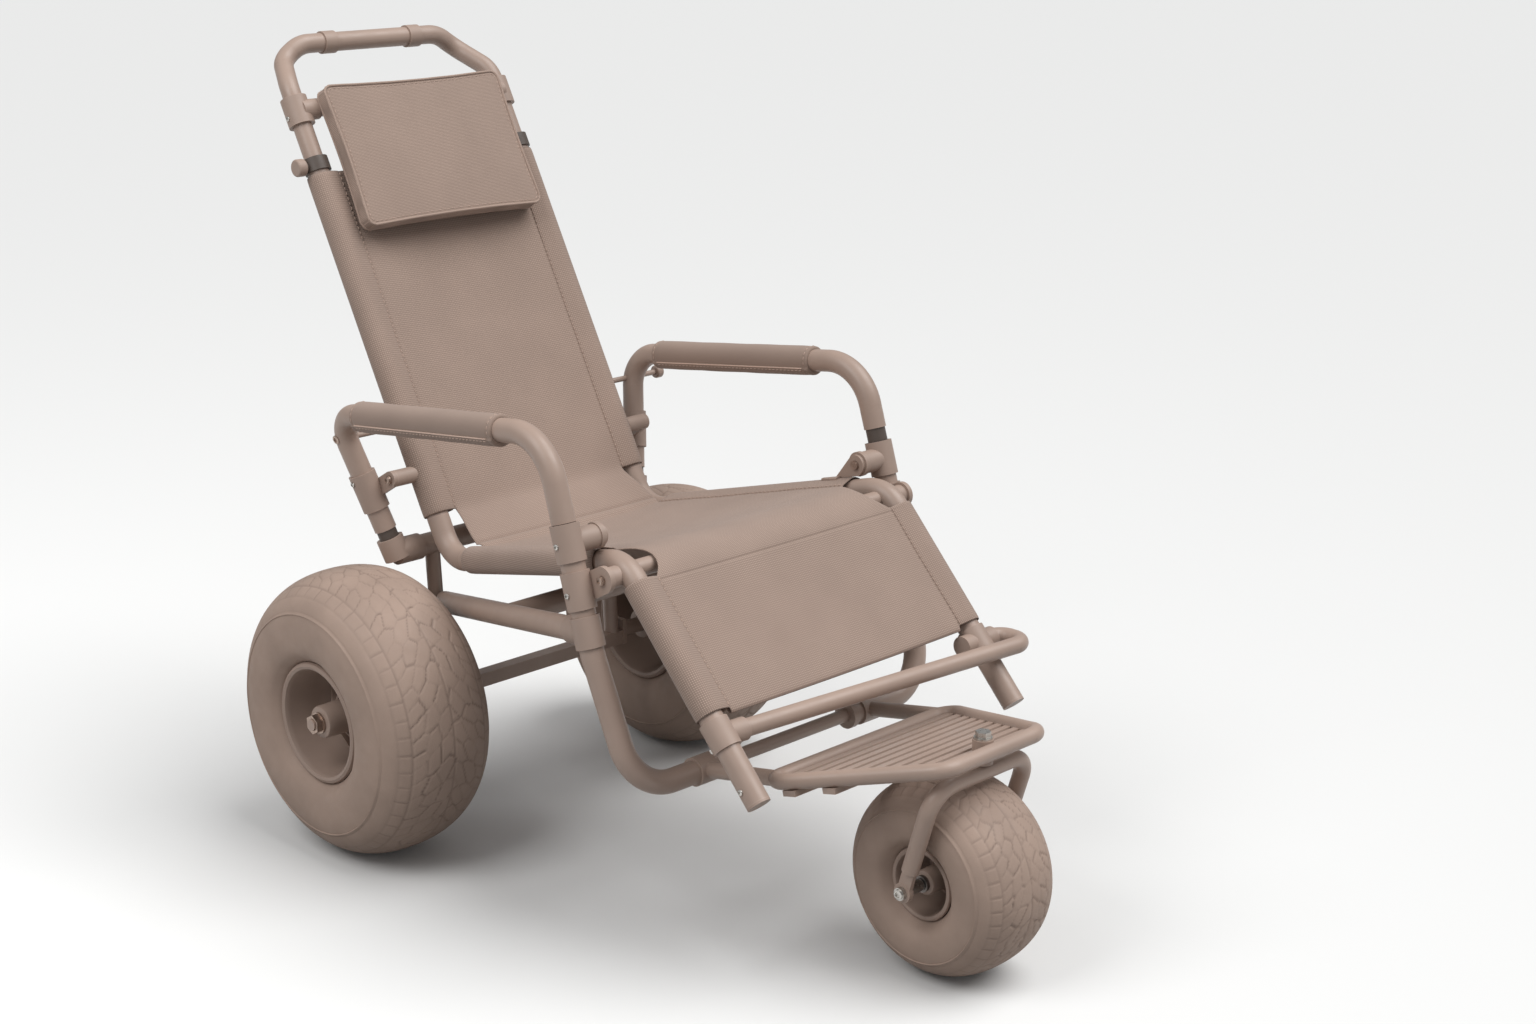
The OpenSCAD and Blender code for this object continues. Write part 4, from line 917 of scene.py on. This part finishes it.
def cloth_column_points(row):
    """Points across one row, from the middle to the left seam, then round the tube and back."""
    side = Vector((1, 0, 0))
    edge = row.edge
    points = []
    for i in range(HALF_COLUMNS + 1):
        t = i / HALF_COLUMNS
        lift = SEAM_UP - row.sag * (1 - t ** 2) - row.crease
        points.append(row.axis + side * (edge * t - row.axis.x) + row.up * lift)
    dip = row.axis + side * (edge + 1.6 - row.axis.x) + row.up * (SEAM_UP - 1.8 - row.crease * 0.5)
    points.append(dip)
    if row.sleeved:
        reach = sqrt(SEAM_IN ** 2 + SEAM_UP ** 2)
        first = pi - atan2(SEAM_UP, SEAM_IN)
        open_by = acos(SLEEVE / reach)
        start = points[-1]
        top = row.axis + (side * cos(first - open_by) + row.up * sin(first - open_by)) * SLEEVE
        points.append(mix(start, top, 0.08) + row.up * 2.3)
        points.append(mix(start, top, 0.4) + row.up * 1.7)
        points.append(mix(start, top, 0.75) + row.up * 0.7)
        stop = first + open_by - 2 * pi
        for i in range(17):
            turn = mix(first - open_by, stop, i / 16)
            points.append(row.axis + (side * cos(turn) + row.up * sin(turn)) * SLEEVE)
        low = points[-1]
        under = row.axis + side * (edge - 1 - row.axis.x) + row.up * (SEAM_UP - CLOTH - 1.4)
        points.append(mix(low, under, 0.5))
        points.append(under)
    return points


sling_rows = []
spans = {}
for panel, rows in (
    ("back", back_rows()), ("crease", crease_rows()), ("seat", seat_rows()),
    ("knee", knee_rows()), ("leg", leg_rows()), ("hem", hem_rows()),
):
    spans[panel] = (len(sling_rows), len(sling_rows) + len(rows) - 1)
    sling_rows += rows
cloth_points = []
cloth_places = []
cloth_lattice = []
cloth_grid = []
run = 0.0
widest = 0.0
last_edge = None
for row in sling_rows:
    half = cloth_column_points(row)
    edge_point = half[HALF_COLUMNS]
    if last_edge is not None:
        run += (edge_point - last_edge).length
    last_edge = edge_point
    line = {}
    spots_here = {}
    for side in (1, -1):
        across = 0.0
        for i, point in enumerate(half):
            if i > 0:
                across += (point - half[i - 1]).length
            if side < 0 and i == 0:
                continue
            place = Vector((point.x * side, point.y, point.z))
            if i <= HALF_COLUMNS + 3:
                place = place + row.up * soft_unevenness(place, 1.1 if row.sleeved else 0.6)
            line[side * i] = len(cloth_points)
            spots_here[side * i] = place
            cloth_points.append(at(*place))
            cloth_places.append((across * side * MM, run * MM))
        widest = max(widest, across)
    cloth_lattice.append(line)
    cloth_grid.append(spots_here)

cloth_faces = []
for above, below in zip(cloth_lattice, cloth_lattice[1:]):
    reach = min(max(above), max(below))
    for i in range(-reach, reach):
        cloth_faces.append((above[i], above[i + 1], below[i + 1], below[i]))

sling = new_piece("sling_cloth", cloth_points, cloth_faces)
cloth_map = sling.data.uv_layers.new(name="weave")
for corner in sling.data.loops:
    cloth_map.data[corner.index].uv = cloth_places[corner.vertex_index]


def finish_modifiers(piece):
    pick(piece)
    for modifier in list(piece.modifiers):
        bpy.ops.object.modifier_apply(modifier=modifier.name)


def cloth_thickness(piece, thick):
    wall = piece.modifiers.new("cloth_thickness", "SOLIDIFY")
    wall.thickness = thick * MM
    wall.offset = 0
    smooth = piece.modifiers.new("soft_folds", "SUBSURF")
    smooth.levels = 1
    smooth.render_levels = 1
    finish_modifiers(piece)
    smooth_all(piece)


cloth_thickness(sling, CLOTH)
sling_cloth = woven("woven_taupe_sling", scaled(TAUPE, 1.24), 3.4)
sling.data.materials.append(sling_cloth)
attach(sling, "frame")
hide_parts("sling_back", "sling_seat", "sling_leg")


def cloth_line(first, second, share, columns):
    """A line across the sling between two of its rows, with the way up at each point."""
    points = []
    ups = []
    for c in columns:
        a = cloth_grid[first][c]
        b = cloth_grid[second][c]
        points.append(mix(a, b, share))
    for i in range(len(points)):
        ahead = points[min(i + 1, len(points) - 1)] - points[max(i - 1, 0)]
        along = cloth_grid[second][columns[i]] - cloth_grid[first][columns[i]]
        ups.append(ahead.cross(along).normalized())
    return points, ups


def lifted(line, by):
    points, ups = line
    return [p + u * by for p, u in zip(points, ups)], ups


SEWN_COLUMN = HALF_COLUMNS + 2
sewn_lines = []
for first, last in (spans["back"], spans["seat"], spans["leg"]):
    for side in (1, -1):
        points = [cloth_grid[r][SEWN_COLUMN * side] for r in range(first, last + 1)]
        ups = [sling_rows[r].up for r in range(first, last + 1)]
        sewn_lines.append(lifted((points, ups), CLOTH / 2))
        around = [i * side for i in range(SEWN_COLUMN, 35)]
        for end, inner in ((first, first + 1), (last, last - 1)):
            way = 1 if (side > 0) == (end < inner) else -1
            line = cloth_line(end, inner, 0.42, around)
            sewn_lines.append(lifted((line[0], [u * way for u in line[1]]), CLOTH / 2))
knee_columns = list(range(-HALF_COLUMNS, HALF_COLUMNS + 1))
leg_first, leg_last = spans["leg"]
for first, share in ((leg_first, 0.7), (leg_first + 3, 0.4), (leg_last - 1, 0.2)):
    line = cloth_line(first, first + 1, share, knee_columns)
    sewn_lines.append(lifted(line, CLOTH / 2))
sling_thread = stitching("sling_stitching", sewn_lines, thread_finish)
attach(sling_thread, "frame")

# Screws and pins
# Zinc plated button-head screws in the tees and leg tubes, and shoulder bolts through the lugs.
# Each bolt head carries a turned cap with a driving recess.
dress(painted_steel, "pivot_bolts")
UPRIGHT_DIR = Vector((0, 0.2945, 0.9556))
REAR_LEG_DIR = Vector((0.2347, 0.2617, 0.9362))
UPPER_TEE = Vector((347, -529.9, 650.8))
LOWER_TEE = Vector((347, -551.4, 581.1))
LUG_TEE = Vector((271, 15, 500)) + REAR_LEG_DIR * 114
FITTING = 23
TUBE = 19
rear_out = Vector((0.97, 0, -0.2432))
leg_out = Vector((0.5, 0.6344, -0.5895))
screw_seats = [
    (UPPER_TEE - UPRIGHT_DIR * 2, sideways, FITTING),
    (LOWER_TEE - UPRIGHT_DIR * 4, sideways, FITTING),
    (LUG_TEE + REAR_LEG_DIR * 22, rear_out, FITTING),
    (KNEE + LEG_DIR * 391, sideways, TUBE),
    (KNEE + LEG_DIR * 314, leg_out, FITTING),
]
screws = set_in_place(
    screw_head(4.5, 2.6),
    [(axis + out * (seat - 0.4), out) for axis, out, seat in screw_seats],
    "button_head_screws",
    bright_steel,
)
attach(screws, "frame")
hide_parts("set_screws")
knee_bolt = Vector((339.8, -591.8, 602.8))
back_bolt = Vector((290.6, 1.7, 632.1))
caps = set_in_place(
    screw_head(6, 1.8), [(knee_bolt, sideways), (back_bolt, sideways)], "bolt_caps", painted_steel
)
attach(caps, "frame")

# Push handle and headrest bar
# A telescoping tube bent into a bar, with two collars on it and tees for the headrest bar.
# It slides in the back tubes through a dark collar on each, and one clamp knob holds it.
dress(frame_paint, "push_handle", "headrest_bar")
dress(cast_paint, "handle_tees", "handle_collars", "clamp_knob")
dress(dark_plastic, "clamp_collars")
handle_screw = Vector((240.6, 309, 1200.4))
tee_screws = set_in_place(
    screw_head(4.2, 2.2), [(handle_screw, sideways)], "handle_tee_screws", bright_steel
)
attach(tee_screws, "handle")

# Headrest pillow
# A flat foam cushion in a woven cover with piped edges and a sewn line inside them, its front left plain.
# Two webbing loops sewn to its back hold it on the headrest bar, so it slides with the handle.
BAR_AT = Vector((0, 313.7, 1209.2))
PILLOW_AT = BAR_AT - BACK_DIR * 104
PILLOW_HALF = (190, 130)
PILLOW_BACK = 25.5
PILLOW_FRONT = 50
PILLOW_CORNER = 20
DRAWN_IN = 5
WEAVE_LEAN = 61.6
SIDE_GIVE = 0.002
SETTLE_FRAMES = 20


def on_pillow(x, along, out):
    """A place on the pillow: across the chair, up along the back, and out towards the sitter."""
    return PILLOW_AT + Vector((x, 0, 0)) + BACK_DIR * along + BACK_FRONT * out


def pillow_outline(inset, steps):
    """Points round the pillow's edge: straight sides drawn in a little between rounded corners."""
    wide = PILLOW_HALF[0] - inset
    tall = PILLOW_HALF[1] - inset
    corner = max(3, PILLOW_CORNER - inset)
    points = []
    for quarter, (cx, cy) in enumerate(((1, 1), (-1, 1), (-1, -1), (1, -1))):
        for i in range(steps):
            turn = pi / 2 * (quarter + i / steps)
            x = cx * (wide - corner) + corner * cos(turn)
            y = cy * (tall - corner) + corner * sin(turn)
            points.append((x, y))
        nx, ny = ((-1, 1), (-1, -1), (1, -1), (1, 1))[quarter]
        last = points[-1]
        ahead = (nx * (wide - corner), ny * tall) if quarter % 2 == 0 else (nx * wide, ny * (tall - corner))
        for i in range(1, steps):
            t = i / steps
            points.append((mix(last[0], ahead[0], t), mix(last[1], ahead[1], t)))
    drawn = []
    for x, y in points:
        drawn.append((
            x * (1 - DRAWN_IN / wide * max(0, 1 - (y / tall) ** 2)),
            y * (1 - DRAWN_IN / tall * max(0, 1 - (x / wide) ** 2)),
        ))
    return drawn


bpy.ops.mesh.primitive_cube_add(size=1, location=(0, 0, 0))
pillow = bpy.context.object
rename(pillow, "headrest_cushion")
for vertex in pillow.data.vertices:
    vertex.co.x *= 2 * PILLOW_HALF[0] * MM
    vertex.co.y *= 2 * PILLOW_HALF[1] * MM
    vertex.co.z = (PILLOW_FRONT if vertex.co.z > 0 else PILLOW_BACK) * MM
select_none(pillow.data)
for edge in pillow.data.edges:
    a, b = (pillow.data.vertices[i].co for i in edge.vertices)
    edge.select = abs(a.z - b.z) > 0.01
bpy.context.tool_settings.mesh_select_mode = (False, True, False)
bpy.ops.object.mode_set(mode="EDIT")
bpy.ops.mesh.bevel(offset=PILLOW_CORNER * MM, segments=6, affect="EDGES")
bpy.ops.object.mode_set(mode="OBJECT")
face_outward()
pillow.data.remesh_voxel_size = 0.005
bpy.ops.object.voxel_remesh()

half_wide, half_tall = (size * MM for size in PILLOW_HALF)
for vertex in pillow.data.vertices:
    x, y = vertex.co.x, vertex.co.y
    vertex.co.x = x * (1 - DRAWN_IN * MM / half_wide * max(0, 1 - (y / half_tall) ** 2))
    vertex.co.y = y * (1 - DRAWN_IN * MM / half_tall * max(0, 1 - (x / half_wide) ** 2))
flat_shape = [vertex.co.copy() for vertex in pillow.data.vertices]


def edge_share(place):
    """0 at the pillow's edge and 1 well inside it."""
    return min(1, max(0, min(half_wide - abs(place.x), half_tall - abs(place.y)) / half_wide))


pins = pillow.vertex_groups.new(name="sewn_edges")
for vertex in pillow.data.vertices:
    near_rim = min(half_wide - abs(vertex.co.x), half_tall - abs(vertex.co.y)) < 0.0075
    near_face = min(abs(vertex.co.z - PILLOW_FRONT * MM), abs(vertex.co.z - PILLOW_BACK * MM)) < 0.004
    if near_rim and near_face:
        pins.add([vertex.index], 1.0, "REPLACE")
cover = pillow.modifiers.new("filled_cover", "CLOTH")
cover.settings.quality = 6
cover.settings.mass = 0.3
cover.settings.tension_stiffness = 12
cover.settings.compression_stiffness = 12
cover.settings.shear_stiffness = 6
cover.settings.bending_stiffness = 0.6
cover.settings.use_pressure = True
cover.settings.uniform_pressure_force = 4
cover.settings.vertex_group_mass = "sewn_edges"
cover.settings.effector_weights.gravity = 0
cover.point_cache.frame_start = 1
cover.point_cache.frame_end = SETTLE_FRAMES
for number in range(1, SETTLE_FRAMES + 1):
    scene.frame_set(number)
finish_modifiers(pillow)
scene.frame_set(1)
for vertex, flat in zip(pillow.data.vertices, flat_shape):
    rise = sin(pi / 2 * min(1, 3.2 * edge_share(flat)))
    high = 0.013 * rise if flat.z > 0.5 * (PILLOW_FRONT + PILLOW_BACK) * MM else 0.0015 * rise
    moved = vertex.co - flat
    moved.z = max(-high, min(high, moved.z))
    moved.x = max(-SIDE_GIVE, min(SIDE_GIVE, moved.x))
    moved.y = max(-SIDE_GIVE, min(SIDE_GIVE, moved.y))
    vertex.co = flat + moved

smooth = pillow.modifiers.new("smooth_cover", "SMOOTH")
smooth.factor = 0.5
smooth.iterations = 4
finer = pillow.modifiers.new("finer_cover", "SUBSURF")
finer.levels = 1
finer.render_levels = 1
finish_modifiers(pillow)
smooth_all(pillow)


def pillow_surface(x, y, z):
    """The nearest place on the pillow's cover, still in its own lying frame, and the way out of it."""
    place, normal = pillow.closest_point_on_mesh(Vector((x, y, z)) * MM)[1:3]
    return place / MM, normal


piping_paths = []
for level, beyond in ((PILLOW_FRONT, 6), (PILLOW_BACK, -6)):
    path = []
    for x, y in pillow_outline(1.5, 14):
        place, normal = pillow_surface(x * 1.02, y * 1.02, level + beyond)
        path.append(on_pillow(*(place + normal * 0.6)))
    piping_paths.append(path)
inner = pillow_outline(6, 14)
stitch_points = []
stitch_ups = []
for x, y in inner + inner[:1]:
    place, normal = pillow_surface(x, y, PILLOW_FRONT + 20)
    stitch_points.append(on_pillow(*place))
    stitch_ups.append(Vector((normal.x, 0, 0)) + BACK_DIR * normal.y + BACK_FRONT * normal.z)
for vertex in pillow.data.vertices:
    vertex.co = at(*on_pillow(*(vertex.co / MM)))

pillow_cloth = woven("woven_pillow_cover", scaled(TAUPE, 1.28), 2.6, lean=WEAVE_LEAN)
pillow.data.materials.append(pillow_cloth)
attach(pillow, "handle")
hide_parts("headrest_pillow")

piping_cloth = woven("piping_cloth", scaled(TAUPE, 1.5), 1.6, lean=WEAVE_LEAN)
piping = piping_cord("pillow_piping", piping_paths, 4.6, True, piping_cloth)
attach(piping, "handle")
pillow_thread = stitching("pillow_stitching", [(stitch_points, stitch_ups)], thread_finish)
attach(pillow_thread, "handle")

LOOP_WIDE = 30
LOOP_OUT = 110
loop_line = [(22, 25.4), (18, 22)]
for i in range(17):
    turn = radians(40 - 260 * i / 16)
    loop_line.append((15.7 * cos(turn), 8 + 15.7 * sin(turn)))
loop_line += [(-18, 22), (-22, 25.4)]
for side, word in ((-1, "right"), (1, "left")):
    corners = []
    for along, out in loop_line:
        for across in (-0.5, 0.5):
            place = BAR_AT + BACK_DIR * along + BACK_FRONT * out
            corners.append(at(LOOP_OUT * side + across * LOOP_WIDE, place.y, place.z))
    joins = [(2 * i, 2 * i + 1, 2 * i + 3, 2 * i + 2) for i in range(len(loop_line) - 1)]
    strap = new_piece("headrest_loop_" + word, corners, joins)
    strap_map = strap.data.uv_layers.new(name="weave")
    for corner in strap.data.loops:
        row, across = divmod(corner.vertex_index, 2)
        strap_map.data[corner.index].uv = (across * LOOP_WIDE * MM, row * 5 * MM)
    cloth_thickness(strap, 1.6)
    strap.data.materials.append(sling_cloth)
    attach(strap, "handle")
